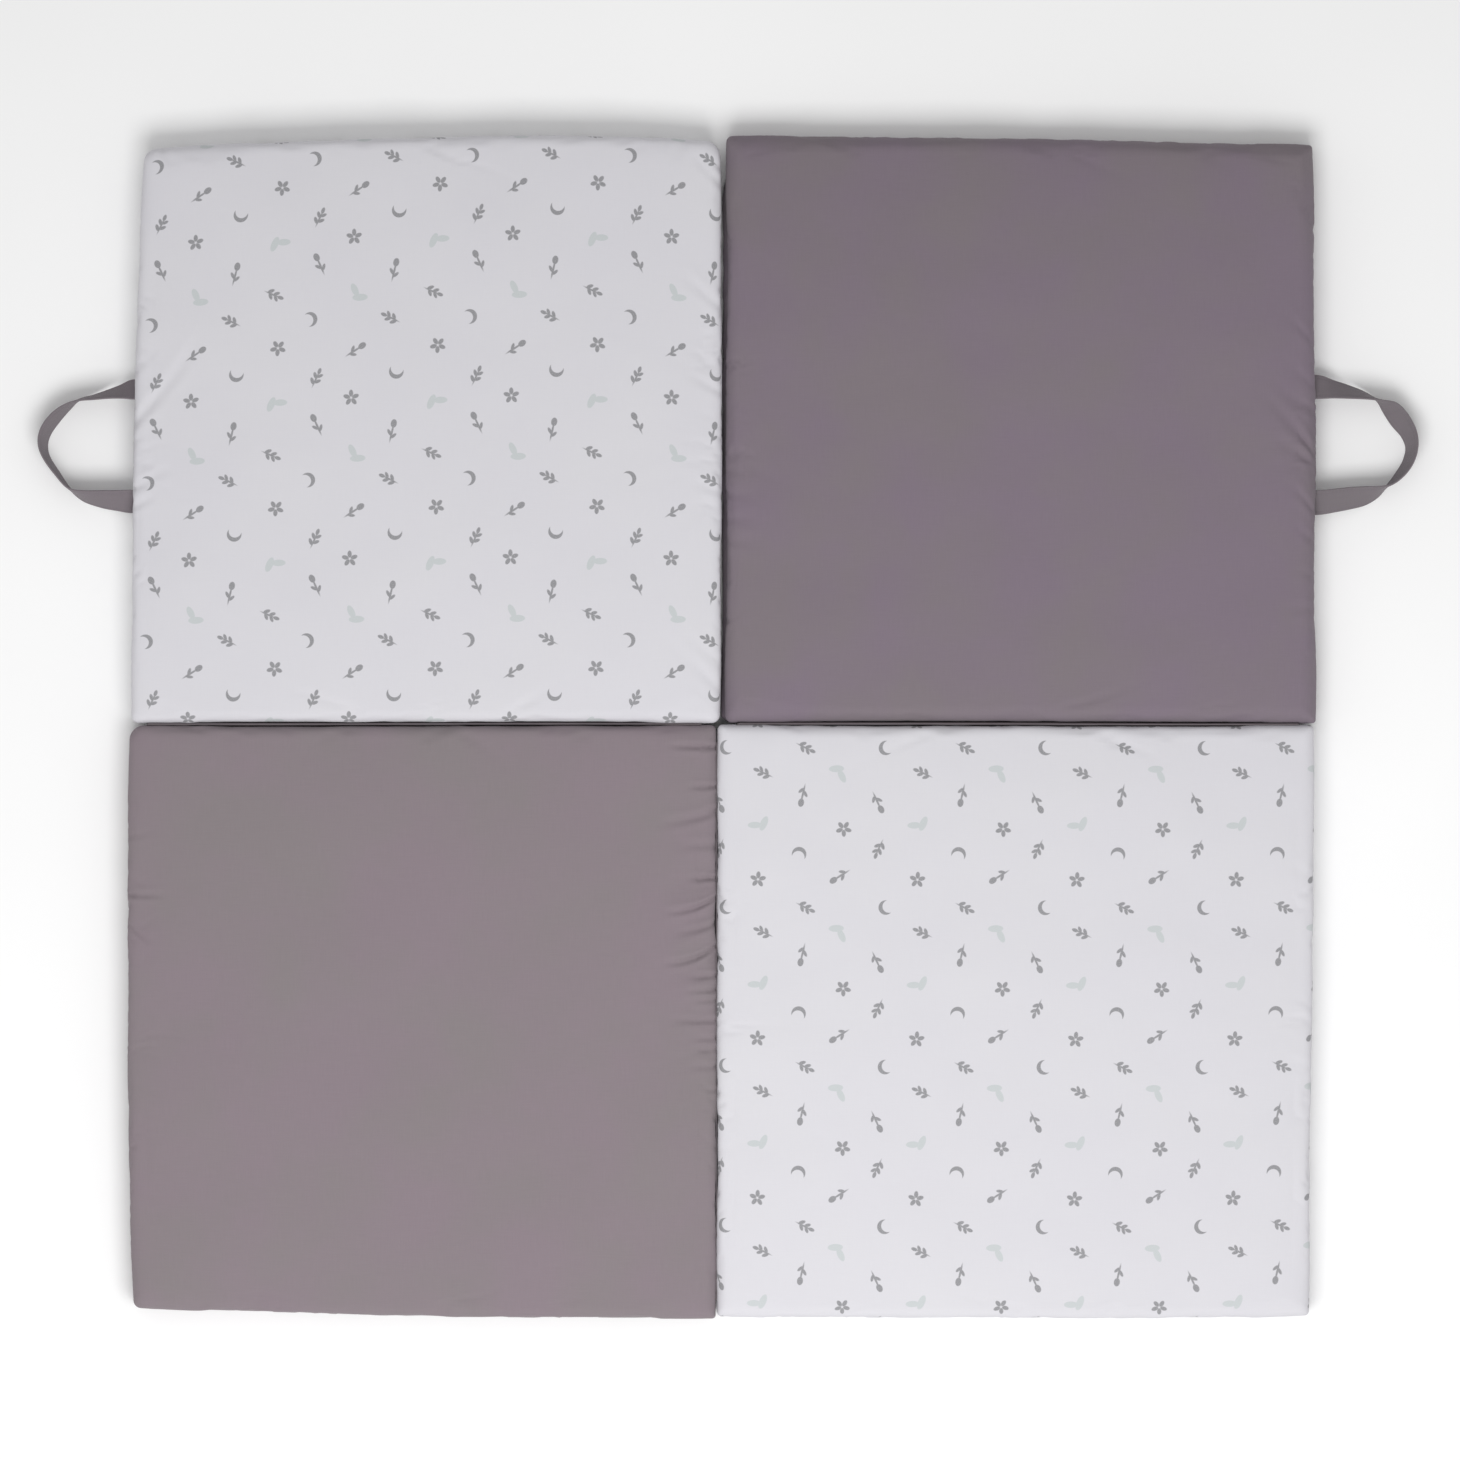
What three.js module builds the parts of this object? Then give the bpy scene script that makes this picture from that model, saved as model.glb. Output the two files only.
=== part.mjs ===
// A folding baby play mat, laid open on the ground.
// Four padded square panels lie two by two. Three fold seams join them, the two back panels
// are parted by an open slit, and each back panel carries a looped strap as a handle.
// Millimetres, +X to the right, +Y to the back, +Z up, the ground at z = 0, and the origin
// under the middle of the whole mat.
import * as THREE from 'three';

// Driving dimensions
const THICKNESS = 35; // a panel's height where its rounded edge ends
const CROWN = 3; // how much higher the middle of a panel stands
const SEAM_SHARE = 0.5; // the side seam runs round at this share of the thickness
const SEAM_INSET = 1.5; // how far the side seam is drawn in
const STRAP_WIDTH = 22;
const STRAP_THICKNESS = 2;
const JOINT_THICKNESS = 1.6; // the cloth joint of a fold seam
const JOINT_TUCK = 1.05; // how far a joint reaches into the drawn-in seam of each panel
const JOINT_END = 14; // a joint stops this far from the ends of the edges that it joins
const ROOT_GAP = 0.4; // between a handle's sewn end and the side that it is sewn to
const ROOT_STUB = 6; // a handle leaves the seam square to the side for this far

// Fineness of the solids
const STATION_STEP = 42; // between the stations on a panel's side
const CORNER_STEPS = 4; // steps round a panel's corner
const CREASE_ZONE = 60; // creases are followed this far in from the edge
const MIN_SHARE = 0.25; // the least share of its even spacing that a station may keep
const SAME_PLACE = 1e-6; // places nearer than this along a side are one
const HANDLE_STEPS = 52;
const JOINT_STEPS = 14;

// A panel's section from its flat underside up to the end of its rounded top edge.
// inset: in from the outline. height: share of the thickness.
// pull and drop: how much of a crease's depth goes inwards and down there.
const SIDE_ROWS = [
  { inset: 9.0, height: 0, pull: 0, drop: 0 },
  { inset: 3.2, height: 0.05, pull: 0, drop: 0 },
  { inset: 0.4, height: 0.21, pull: 0, drop: 0 },
  { inset: SEAM_INSET, height: SEAM_SHARE, pull: 0, drop: 0 },
  { inset: 0.2, height: 0.74, pull: 0.4, drop: 0 },
  { inset: 1.3, height: 0.885, pull: 0.7, drop: 0.3 },
  { inset: 4.2, height: 0.97, pull: 0.4, drop: 0.8 },
  { inset: 8.8, height: 1, pull: 0, drop: 1 },
];

// The top of a panel, from its rounded edge in to the middle. rise: share of the crown.
const TOP_ROWS = [
  { inset: 17, rise: 0.3 },
  { inset: 30, rise: 0.52 },
  { inset: 50, rise: 0.7 },
  { inset: 95, rise: 0.88 },
  { inset: 165, rise: 0.98 },
];

// The four panels.
// corners: where the straight sides would meet. rounds: the radius of each corner.
// bows: how each side leaves the straight line, outwards. bow is one half wave over the side,
// skew is two half waves and shoulder is three.
// creases: short troughs that run in from a side. at: from the side's left or front end.
// lean: how far it drifts along the side for each millimetre inwards. reach: its length
// inwards. width and depth: of the trough.
const PANELS = [
  {
    name: 'back_left_panel',
    cloth: 'printed',
    corners: {
      frontLeft: [-504.9, 5.0],
      frontRight: [-7.0, 4.4],
      backLeft: [-493.9, 488.5],
      backRight: [-6.6, 494.4],
    },
    rounds: { frontLeft: 6, frontRight: 7, backLeft: 10, backRight: 12 },
    bows: {
      front: { bow: 0, skew: 0.2, shoulder: 0 },
      right: { bow: 2.6, skew: 0, shoulder: 0.3 },
      back: { bow: 6.7, skew: -1.2, shoulder: 0.9 },
      left: { bow: 2.9, skew: -0.4, shoulder: 0 },
    },
    creases: [
      { side: 'left', at: 186, lean: 0.45, reach: 22, width: 9, depth: 0.8 },
      { side: 'left', at: 204, lean: 0.55, reach: 34, width: 9, depth: 0.9 },
      { side: 'left', at: 257, lean: 1.1, reach: 56, width: 13, depth: 1.5 },
      { side: 'right', at: 32, lean: 0.9, reach: 50, width: 12, depth: 0.9 },
      { side: 'right', at: 192, lean: 0.4, reach: 26, width: 9, depth: 0.7 },
      { side: 'right', at: 276, lean: 0.55, reach: 30, width: 9, depth: 0.8 },
      { side: 'right', at: 348, lean: 0.8, reach: 34, width: 10, depth: 0.9 },
    ],
  },
  {
    name: 'back_right_panel',
    cloth: 'plain',
    corners: {
      frontLeft: [-3.8, 5.0],
      frontRight: [497.3, 4.6],
      backLeft: [-1.7, 497.6],
      backRight: [494.1, 491.8],
    },
    rounds: { frontLeft: 6, frontRight: 3, backLeft: 5, backRight: 3 },
    bows: {
      front: { bow: -0.2, skew: -0.3, shoulder: 0.1 },
      right: { bow: 1, skew: -0.6, shoulder: 0 },
      back: { bow: 4.5, skew: 0, shoulder: -0.1 },
      left: { bow: -0.6, skew: 0, shoulder: 0 },
    },
    creases: [
      { side: 'right', at: 184, lean: 1, reach: 30, width: 10, depth: 0.8 },
      { side: 'right', at: 226, lean: 1.15, reach: 50, width: 12, depth: 1.4 },
      { side: 'right', at: 329, lean: 1, reach: 30, width: 10, depth: 0.8 },
      { side: 'left', at: 158, lean: 0, reach: 30, width: 9, depth: 0.6 },
      { side: 'left', at: 196, lean: 0, reach: 26, width: 9, depth: 0.6 },
    ],
  },
  {
    name: 'front_left_panel',
    cloth: 'plain',
    corners: {
      frontLeft: [-502.9, -490.1],
      frontRight: [-11.0, -498.7],
      backLeft: [-506.2, 0.2],
      backRight: [-10.7, 2.3],
    },
    rounds: { frontLeft: 6, frontRight: 3, backLeft: 12, backRight: 4 },
    bows: {
      front: { bow: 1.5, skew: 0.3, shoulder: -0.1 },
      right: { bow: 0.1, skew: 0.2, shoulder: 0 },
      back: { bow: 0.2, skew: -0.2, shoulder: 0 },
      left: { bow: 3.4, skew: 0.3, shoulder: 0.4 },
    },
    creases: [
      { side: 'right', at: 240, lean: 0, reach: 18, width: 8, depth: 0.6 },
      { side: 'right', at: 262, lean: -0.1, reach: 22, width: 8, depth: 0.7 },
      { side: 'right', at: 284, lean: -0.15, reach: 26, width: 8, depth: 0.8 },
      { side: 'right', at: 311, lean: -0.22, reach: 50, width: 10, depth: 1.2 },
      { side: 'right', at: 335, lean: -0.35, reach: 38, width: 9, depth: 1.0 },
      { side: 'right', at: 356, lean: -0.24, reach: 54, width: 10, depth: 1.4 },
      { side: 'right', at: 376, lean: 0, reach: 18, width: 8, depth: 0.8 },
      { side: 'right', at: 432, lean: -0.18, reach: 50, width: 10, depth: 1.2 },
      { side: 'right', at: 454, lean: 0, reach: 18, width: 8, depth: 0.7 },
      { side: 'left', at: 328, lean: -0.75, reach: 22, width: 9, depth: 0.7 },
      { side: 'left', at: 354, lean: 0, reach: 34, width: 9, depth: 0.9 },
    ],
  },
  {
    name: 'front_right_panel',
    cloth: 'printed',
    corners: {
      frontLeft: [-9.4, -497.1],
      frontRight: [490.0, -495.0],
      backLeft: [-9.1, 2.9],
      backRight: [495.1, 2.7],
    },
    rounds: { frontLeft: 4, frontRight: 4, backLeft: 4, backRight: 4 },
    bows: {
      front: { bow: 0.6, skew: 0, shoulder: 0 },
      right: { bow: 0, skew: -0.5, shoulder: 0 },
      back: { bow: -0.1, skew: 0.1, shoulder: 0 },
      left: { bow: 0, skew: 0.1, shoulder: 0 },
    },
    creases: [
      { side: 'left', at: 352, lean: 0, reach: 22, width: 10, depth: 0.6 },
      { side: 'right', at: 210, lean: 0.3, reach: 26, width: 10, depth: 0.5 },
    ],
  },
];

// The fold seams, each named with the two sides that it joins.
const FOLD_SEAMS = [
  { name: 'left_fold_seam', from: ['front_left_panel', 'back'], to: ['back_left_panel', 'front'] },
  { name: 'right_fold_seam', from: ['front_right_panel', 'back'], to: ['back_right_panel', 'front'] },
  { name: 'front_fold_seam', from: ['front_right_panel', 'left'], to: ['front_left_panel', 'right'] },
];

// The handles: the middle line of each strap between its two sewn ends.
// z: height of the strap's middle. roll: 0 lies flat, 90 stands on its outer edge, and past
// 90 it leans outwards over that edge.
const HANDLES = [
  {
    name: 'left_handle',
    panel: 'back_left_panel',
    side: 'left',
    first: { y: 287.0, roll: 40 },
    path: [
      { x: -514, y: 285.4, z: 17.0, roll: 54 },
      { x: -526, y: 283.0, z: 15.4, roll: 70 },
      { x: -538, y: 280.4, z: 13.2, roll: 80 },
      { x: -549, y: 277.9, z: 11.8, roll: 92 },
      { x: -558.6, y: 272.0, z: 11.3, roll: 106 },
      { x: -568.4, y: 263.0, z: 11.2, roll: 112 },
      { x: -575.8, y: 251.6, z: 11.2, roll: 111 },
      { x: -578.2, y: 240.6, z: 11.4, roll: 106 },
      { x: -575.0, y: 229.4, z: 11.6, roll: 101 },
      { x: -566.0, y: 217.0, z: 11.6, roll: 98 },
      { x: -555.6, y: 203.2, z: 11.8, roll: 89 },
      { x: -545, y: 196.6, z: 12.6, roll: 66 },
      { x: -531, y: 193.6, z: 14.6, roll: 46 },
      { x: -516, y: 192.2, z: 16.6, roll: 30 },
    ],
    last: { y: 191.7, roll: 20 },
  },
  {
    name: 'right_handle',
    panel: 'back_right_panel',
    side: 'right',
    first: { y: 190.9, roll: 20 },
    path: [
      { x: 511, y: 192.4, z: 17.0, roll: 26 },
      { x: 524, y: 194.4, z: 15.8, roll: 32 },
      { x: 538, y: 196.6, z: 14.2, roll: 44 },
      { x: 549.4, y: 200.2, z: 12.6, roll: 66 },
      { x: 558.8, y: 206.0, z: 11.6, roll: 92 },
      { x: 567.0, y: 214.4, z: 11.4, roll: 105 },
      { x: 574.4, y: 225.6, z: 11.2, roll: 110 },
      { x: 577.6, y: 238.2, z: 10.8, roll: 114 },
      { x: 575.0, y: 250.2, z: 10.2, roll: 125 },
      { x: 568.2, y: 262.2, z: 9.4, roll: 136 },
      { x: 560.6, y: 271.4, z: 10.0, roll: 125 },
      { x: 551.6, y: 277.6, z: 11.6, roll: 93 },
      { x: 538, y: 282.4, z: 13.4, roll: 72 },
      { x: 524, y: 285.2, z: 15.6, roll: 57 },
      { x: 511, y: 287.3, z: 17.0, roll: 43 },
    ],
    last: { y: 289.2, roll: 22 },
  },
];

const UP = new THREE.Vector3(0, 0, 1);

const FINISHES = {
  printed: { color: 0xdedde2, roughness: 0.9 },
  plain: { color: 0x8a8086, roughness: 0.88 },
  strap: { color: 0x7d767b, roughness: 0.85 },
  seam: { color: 0x5d565b, roughness: 0.95 },
};

// The sides of a panel. Each runs from its left or front end, and faces outwards.
const SIDES = {
  front: { ends: ['frontLeft', 'frontRight'], faces: 'back', outward: new THREE.Vector2(0, -1) },
  right: { ends: ['frontRight', 'backRight'], faces: 'left', outward: new THREE.Vector2(1, 0) },
  back: { ends: ['backLeft', 'backRight'], faces: 'front', outward: new THREE.Vector2(0, 1) },
  left: { ends: ['frontLeft', 'backLeft'], faces: 'right', outward: new THREE.Vector2(-1, 0) },
};

// The sides in the order in which a ring goes round, each with the corner that follows it.
const RING_ORDER = [
  { side: 'front', backwards: false, corner: 'frontRight', turn: -Math.PI / 2 },
  { side: 'right', backwards: false, corner: 'backRight', turn: 0 },
  { side: 'back', backwards: true, corner: 'backLeft', turn: Math.PI / 2 },
  { side: 'left', backwards: true, corner: 'frontLeft', turn: Math.PI },
];

function cornerPoint(panel, corner) {
  return new THREE.Vector2(...panel.corners[corner]);
}

function sideLength(panel, side) {
  const [low, high] = SIDES[side].ends;
  return cornerPoint(panel, low).distanceTo(cornerPoint(panel, high));
}

// The mean length of a side and the side that it faces, which places along it are measured in.
function span(panel, side) {
  return (sideLength(panel, side) + sideLength(panel, SIDES[side].faces)) / 2;
}

// A point on a side, t from 0 to 1, with the side's bows.
function sidePoint(panel, side, t) {
  const [low, high] = SIDES[side].ends;
  const { bow, skew, shoulder } = panel.bows[side];
  const wave = Math.PI * t;
  const out = bow * Math.sin(wave) + skew * Math.sin(2 * wave) + shoulder * Math.sin(3 * wave);
  return cornerPoint(panel, low)
    .lerp(cornerPoint(panel, high), t)
    .addScaledVector(SIDES[side].outward, out);
}

// A point inside the four bowed sides, p from left to right and q from front to back:
// the two blends between opposite sides are added, and the blend of the corners taken off.
function panelPoint(panel, p, q) {
  const across = sidePoint(panel, 'front', p).lerp(sidePoint(panel, 'back', p), q);
  const along = sidePoint(panel, 'left', q).lerp(sidePoint(panel, 'right', q), p);
  const frontLine = cornerPoint(panel, 'frontLeft').lerp(cornerPoint(panel, 'frontRight'), p);
  const backLine = cornerPoint(panel, 'backLeft').lerp(cornerPoint(panel, 'backRight'), p);
  return across.add(along).sub(frontLine.lerp(backLine, q));
}

// The stations on a side: even ones, and three for each crease, its trough and its shoulders.
function sideStations(panel, side) {
  const [low, high] = SIDES[side].ends;
  const start = panel.rounds[low];
  const end = span(panel, side) - panel.rounds[high];
  const steps = Math.round((end - start) / STATION_STEP);
  const creases = panel.creases.filter((crease) => crease.side === side);
  const even = Array.from({ length: steps + 1 }, (_, i) => ({ at: start + ((end - start) * i) / steps }));
  const clear = even.filter(({ at }) => creases.every((crease) => Math.abs(at - crease.at) > crease.width));
  const trough = creases.map((crease) => ({ at: crease.at, crease }));
  const shoulders = creases.flatMap((crease) => [
    { at: crease.at - crease.width / 2, beside: crease },
    { at: crease.at + crease.width / 2, beside: crease },
  ]);
  return [...clear, ...trough, ...shoulders].sort((a, b) => a.at - b.at);
}

// Where a side's stations lie on the ring at an inset. Near the edge each crease keeps its own
// slant and the stations between are shared out. Further in all of them close up evenly.
function placedStations(panel, side, stations, inset) {
  const [low, high] = SIDES[side].ends;
  const start = panel.rounds[low];
  const end = span(panel, side) - panel.rounds[high];
  const shrink = (at) => inset + start + ((at - start) * (end - start - 2 * inset)) / (end - start);
  if (inset > CREASE_ZONE) return stations.map(({ at }) => shrink(at));
  const drift = ({ lean, reach }) => lean * Math.min(inset, reach);
  const anchors = stations
    .filter(({ crease, beside }) => crease || beside)
    .map(({ at, crease, beside }) => ({ from: at, to: at + drift(crease || beside) }));
  anchors.unshift({ from: start, to: start + inset });
  anchors.push({ from: end, to: end - inset });
  const places = stations.map(({ at }) => {
    const next = anchors.findIndex(({ from }, i) => i > 0 && at <= from + SAME_PLACE);
    const [a, b] = [anchors[next - 1], anchors[next]];
    return a.to + ((b.to - a.to) * (at - a.from)) / (b.from - a.from);
  });
  return keptApart(places, start + inset, end - inset);
}

// Stations that a slant would push together or past a corner are kept a little apart.
function keptApart(places, low, high) {
  const least = (MIN_SHARE * (high - low)) / (places.length - 1);
  const apart = [...places];
  apart[0] = low;
  apart[apart.length - 1] = high;
  for (let i = apart.length - 2; i > 0; i -= 1) {
    apart[i] = Math.min(apart[i], apart[i + 1] - least);
  }
  for (let i = 1; i < apart.length - 1; i += 1) {
    apart[i] = Math.max(apart[i], apart[i - 1] + least);
  }
  return apart;
}

// How deep a crease still is at an inset.
function creaseDepth(crease, inset) {
  if (!crease || inset >= crease.reach) return 0;
  return crease.depth * (1 - (inset / crease.reach) ** 2);
}

// One ring round a panel, anticlockwise from its front left corner. pull is the share of a
// crease's depth that draws the ring in, and heightAt gives a point's height from that depth.
function panelRing(panel, stationsOf, inset, pull, heightAt) {
  const width = span(panel, 'front');
  const depth = span(panel, 'left');
  const pointAt = (x, y, z) => {
    const plan = panelPoint(panel, x / width, y / depth);
    return new THREE.Vector3(plan.x, plan.y, z);
  };
  const onSide = {
    front: (along, inwards) => [along, inwards],
    right: (along, inwards) => [width - inwards, along],
    back: (along, inwards) => [along, depth - inwards],
    left: (along, inwards) => [inwards, along],
  };
  return RING_ORDER.flatMap(({ side, backwards, corner, turn }) => {
    const places = placedStations(panel, side, stationsOf[side], inset);
    const along = stationsOf[side].map(({ crease }, i) => {
      const dent = creaseDepth(crease, inset);
      return pointAt(...onSide[side](places[i], inset + pull * dent), heightAt(dent));
    });
    if (backwards) along.reverse();
    const round = panel.rounds[corner];
    const middle = inset + round;
    const x = corner.endsWith('Left') ? middle : width - middle;
    const y = corner.startsWith('front') ? middle : depth - middle;
    const bend = Array.from({ length: CORNER_STEPS - 1 }, (_, i) => {
      const angle = turn + ((Math.PI / 2) * (i + 1)) / CORNER_STEPS;
      return pointAt(x + round * Math.cos(angle), y + round * Math.sin(angle), heightAt(0));
    });
    return [...along, ...bend];
  });
}

// A closed skin over rings of equally many points, each ring right-handed about the way the
// rings advance. Both ends are closed with a fan about a middle point.
function skinned(rings, firstMiddle, lastMiddle) {
  const count = rings[0].length;
  const points = [...rings.flat(), firstMiddle, lastMiddle];
  const firstTip = points.length - 2;
  const lastTip = points.length - 1;
  const lastRing = (rings.length - 1) * count;
  const faces = [];
  for (let i = 0; i < count; i += 1) {
    const next = (i + 1) % count;
    faces.push(firstTip, next, i);
    faces.push(lastTip, lastRing + i, lastRing + next);
    for (let row = 0; row < lastRing; row += count) {
      faces.push(row + i, row + next, row + count + next);
      faces.push(row + i, row + count + next, row + count + i);
    }
  }
  const geometry = new THREE.BufferGeometry().setFromPoints(points);
  geometry.setIndex(faces);
  geometry.computeVertexNormals();
  return geometry;
}

function middleOf(points) {
  const sum = points.reduce((total, point) => total.add(point), new THREE.Vector3());
  return sum.divideScalar(points.length);
}

function panelGeometry(panel) {
  const stationsOf = {};
  for (const side of Object.keys(SIDES)) stationsOf[side] = sideStations(panel, side);
  const sideRings = SIDE_ROWS.map(({ inset, height, pull, drop }) =>
    panelRing(panel, stationsOf, inset, pull, (depth) => height * THICKNESS - drop * depth),
  );
  const topRings = TOP_ROWS.map(({ inset, rise }) =>
    panelRing(panel, stationsOf, inset, 0, (depth) => THICKNESS + rise * CROWN - depth),
  );
  const { x, y } = panelPoint(panel, 0.5, 0.5);
  return skinned(
    [...sideRings, ...topRings],
    new THREE.Vector3(x, y, 0),
    new THREE.Vector3(x, y, THICKNESS + CROWN),
  );
}

function finish(name) {
  return new THREE.MeshStandardMaterial({ ...FINISHES[name], metalness: 0 });
}

function namedMesh(name, geometry, finishName) {
  const mesh = new THREE.Mesh(geometry, finish(finishName));
  mesh.name = name;
  return mesh;
}

function panelNamed(name) {
  return PANELS.find((panel) => panel.name === name);
}

// The cloth joint of a fold seam: a flat strip between the drawn-in seams of two panels.
function jointGeometry({ from, to }) {
  const edgeOf = ([name, side]) => {
    const panel = panelNamed(name);
    const tuck = SIDES[side].outward.clone().multiplyScalar(-JOINT_TUCK);
    const margin = JOINT_END / sideLength(panel, side);
    return (t) => sidePoint(panel, side, margin + t * (1 - 2 * margin)).add(tuck);
  };
  const near = edgeOf(from);
  const far = edgeOf(to);
  const low = SEAM_SHARE * THICKNESS - JOINT_THICKNESS / 2;
  const high = low + JOINT_THICKNESS;
  const rings = Array.from({ length: JOINT_STEPS + 1 }, (_, i) => {
    const a = near(i / JOINT_STEPS);
    const b = far(i / JOINT_STEPS);
    return [
      new THREE.Vector3(a.x, a.y, low),
      new THREE.Vector3(b.x, b.y, low),
      new THREE.Vector3(b.x, b.y, high),
      new THREE.Vector3(a.x, a.y, high),
    ];
  });
  return skinned(rings, middleOf(rings[0]), middleOf(rings[JOINT_STEPS]));
}

// How far the side of a panel lies in from its outline at a height.
function sideInset(z) {
  const share = z / THICKNESS;
  const next = SIDE_ROWS.findIndex(({ height }) => height > share);
  const [low, high] = [SIDE_ROWS[next - 1], SIDE_ROWS[next]];
  return THREE.MathUtils.mapLinear(share, low.height, high.height, low.inset, high.inset);
}

// The way straight out from a bowed left or right side, from the run of the side around t.
function squareTo(panel, side, t) {
  const share = ROOT_STUB / sideLength(panel, side);
  const along = sidePoint(panel, side, t + share).sub(sidePoint(panel, side, t - share)).normalize();
  return new THREE.Vector2(along.y, -along.x).multiplyScalar(SIDES[side].outward.x);
}

// The sewn end of a handle and the point where it leaves the seam, square to the side. The end
// stays clear of the side all the way up a rolled strap.
function rootRows(panel, side, { y, roll }) {
  const [low] = SIDES[side].ends;
  const t = (y - cornerPoint(panel, low).y) / sideLength(panel, side);
  const outward = squareTo(panel, side, t);
  const z = SEAM_SHARE * THICKNESS;
  const rise = (STRAP_WIDTH / 2) * Math.sin(THREE.MathUtils.degToRad(roll)) + STRAP_THICKNESS / 2;
  const end = sidePoint(panel, side, t).addScaledVector(outward, ROOT_GAP - sideInset(z + rise));
  const stub = end.clone().addScaledVector(outward, ROOT_STUB);
  return [end, stub].map((point) => ({ x: point.x, y: point.y, z, roll }));
}

// The four corners of a strap's section where it passes a point, going ahead. Lying flat, its
// width runs level towards the inside of the loop, and roll lifts that inner edge.
function strapSection(middle, ahead, roll) {
  const inwards = new THREE.Vector3().crossVectors(UP, ahead).normalize();
  const upwards = new THREE.Vector3().crossVectors(ahead, inwards);
  const across = inwards.multiplyScalar(Math.cos(roll)).addScaledVector(upwards, Math.sin(roll));
  const through = new THREE.Vector3().crossVectors(ahead, across);
  const corner = (acrossSign, throughSign) =>
    middle
      .clone()
      .addScaledVector(across, (acrossSign * STRAP_WIDTH) / 2)
      .addScaledVector(through, (throughSign * STRAP_THICKNESS) / 2);
  return [corner(1, 1), corner(-1, 1), corner(-1, -1), corner(1, -1)];
}

// A strap: the flat section carried along the handle's middle line and rolled about it, the
// roll shared out evenly between the rows.
function handleGeometry({ panel: panelName, side, first, path, last }) {
  const panel = panelNamed(panelName);
  const rows = [...rootRows(panel, side, first), ...path, ...rootRows(panel, side, last).reverse()];
  const line = new THREE.CatmullRomCurve3(rows.map(({ x, y, z }) => new THREE.Vector3(x, y, z)));
  const rollAt = (t) => {
    const row = Math.min(Math.floor(t * (rows.length - 1)), rows.length - 2);
    const share = t * (rows.length - 1) - row;
    return THREE.MathUtils.degToRad(THREE.MathUtils.lerp(rows[row].roll, rows[row + 1].roll, share));
  };
  const rings = Array.from({ length: HANDLE_STEPS + 1 }, (_, i) => {
    const t = i / HANDLE_STEPS;
    return strapSection(line.getPoint(t), line.getTangent(t), rollAt(t));
  });
  return skinned(rings, middleOf(rings[0]), middleOf(rings[HANDLE_STEPS]));
}

const mat = new THREE.Group();
for (const panel of PANELS) mat.add(namedMesh(panel.name, panelGeometry(panel), panel.cloth));
for (const seam of FOLD_SEAMS) mat.add(namedMesh(seam.name, jointGeometry(seam), 'seam'));
for (const handle of HANDLES) mat.add(namedMesh(handle.name, handleGeometry(handle), 'strap'));

export default mat;
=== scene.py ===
"""A folding baby play mat, laid open on a pale floor and seen from straight above.

Metres, +X to the right, +Y to the back, +Z up, the floor at z = 0. Four padded panels lie two by
two, plain and printed in turn. Each is a closed shell worked out on a grid, pressed out by the
cloth simulation, and then creased. Three fold seams join the panels, and a strap handle is sewn
into the side seam of each back panel.
"""

from collections import namedtuple

import bpy
import numpy as np
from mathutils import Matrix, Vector


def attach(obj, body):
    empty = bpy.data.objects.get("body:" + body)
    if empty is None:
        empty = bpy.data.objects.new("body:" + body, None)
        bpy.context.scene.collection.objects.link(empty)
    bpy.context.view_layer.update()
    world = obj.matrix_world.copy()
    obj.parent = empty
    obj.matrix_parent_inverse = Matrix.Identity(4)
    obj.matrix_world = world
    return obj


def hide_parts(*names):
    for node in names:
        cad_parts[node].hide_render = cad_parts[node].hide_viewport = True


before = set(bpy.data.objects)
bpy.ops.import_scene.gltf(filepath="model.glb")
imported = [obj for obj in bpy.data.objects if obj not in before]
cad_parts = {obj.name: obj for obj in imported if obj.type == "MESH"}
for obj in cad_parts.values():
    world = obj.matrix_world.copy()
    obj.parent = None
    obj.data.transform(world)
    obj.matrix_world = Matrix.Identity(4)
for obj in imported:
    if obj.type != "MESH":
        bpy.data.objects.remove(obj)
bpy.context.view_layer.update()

# Driving sizes
MM = 0.001
THICKNESS = 0.035  # a panel's height where its rounded edge ends
CROWN = 0.003  # how much higher the middle of a panel stands
CROWN_RUN = 0.045  # how fast the crown rises, in from the rounded edge
SEAM_HEIGHT = 0.0175
STRAP_WIDTH = 0.022
STRAP_THICKNESS = 0.002

# Fineness of the panels: cells along each side, and of them on each half of a rounded corner.
# They are finer up the left and right sides, where most creases run in. The simulation works on
# every second grid line.
CELLS_ACROSS = 120
CELLS_UP = 296
CORNER_CELLS = 4
ROWS_UNDER_SEAM = 10
ROWS_OVER_SEAM = 14

# A panel's section from its flat underside to the seam, and from the seam to its top, for a
# firm and for a soft upper edge. Each row is an inset and a height, and each panel lies between
# the two by its own softness.
SECTION_UNDER = [
    (0.0130, 0.0000), (0.0085, 0.0000),
    (0.0048, 0.0008), (0.0020, 0.0030),
    (0.0008, 0.0068), (0.0006, 0.0115),
    (0.0013, 0.0155),
    (0.0023, SEAM_HEIGHT),
]
SECTION_OVER_FIRM = [
    (0.0023, SEAM_HEIGHT),
    (0.0011, 0.0196), (0.0003, 0.0240),
    (0.0006, 0.0282), (0.0020, 0.0315),
    (0.0047, 0.0336), (0.0088, 0.0347),
    (0.0145, THICKNESS),
]
SECTION_OVER_SOFT = [
    (0.0023, SEAM_HEIGHT),
    (0.0009, 0.0196), (0.0003, 0.0230),
    (0.0013, 0.0266), (0.0034, 0.0298),
    (0.0066, 0.0326), (0.0105, 0.0344),
    (0.0145, THICKNESS),
]
ROW_CROWDING = 1.35  # how much closer the rows of a section lie near the seam

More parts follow.
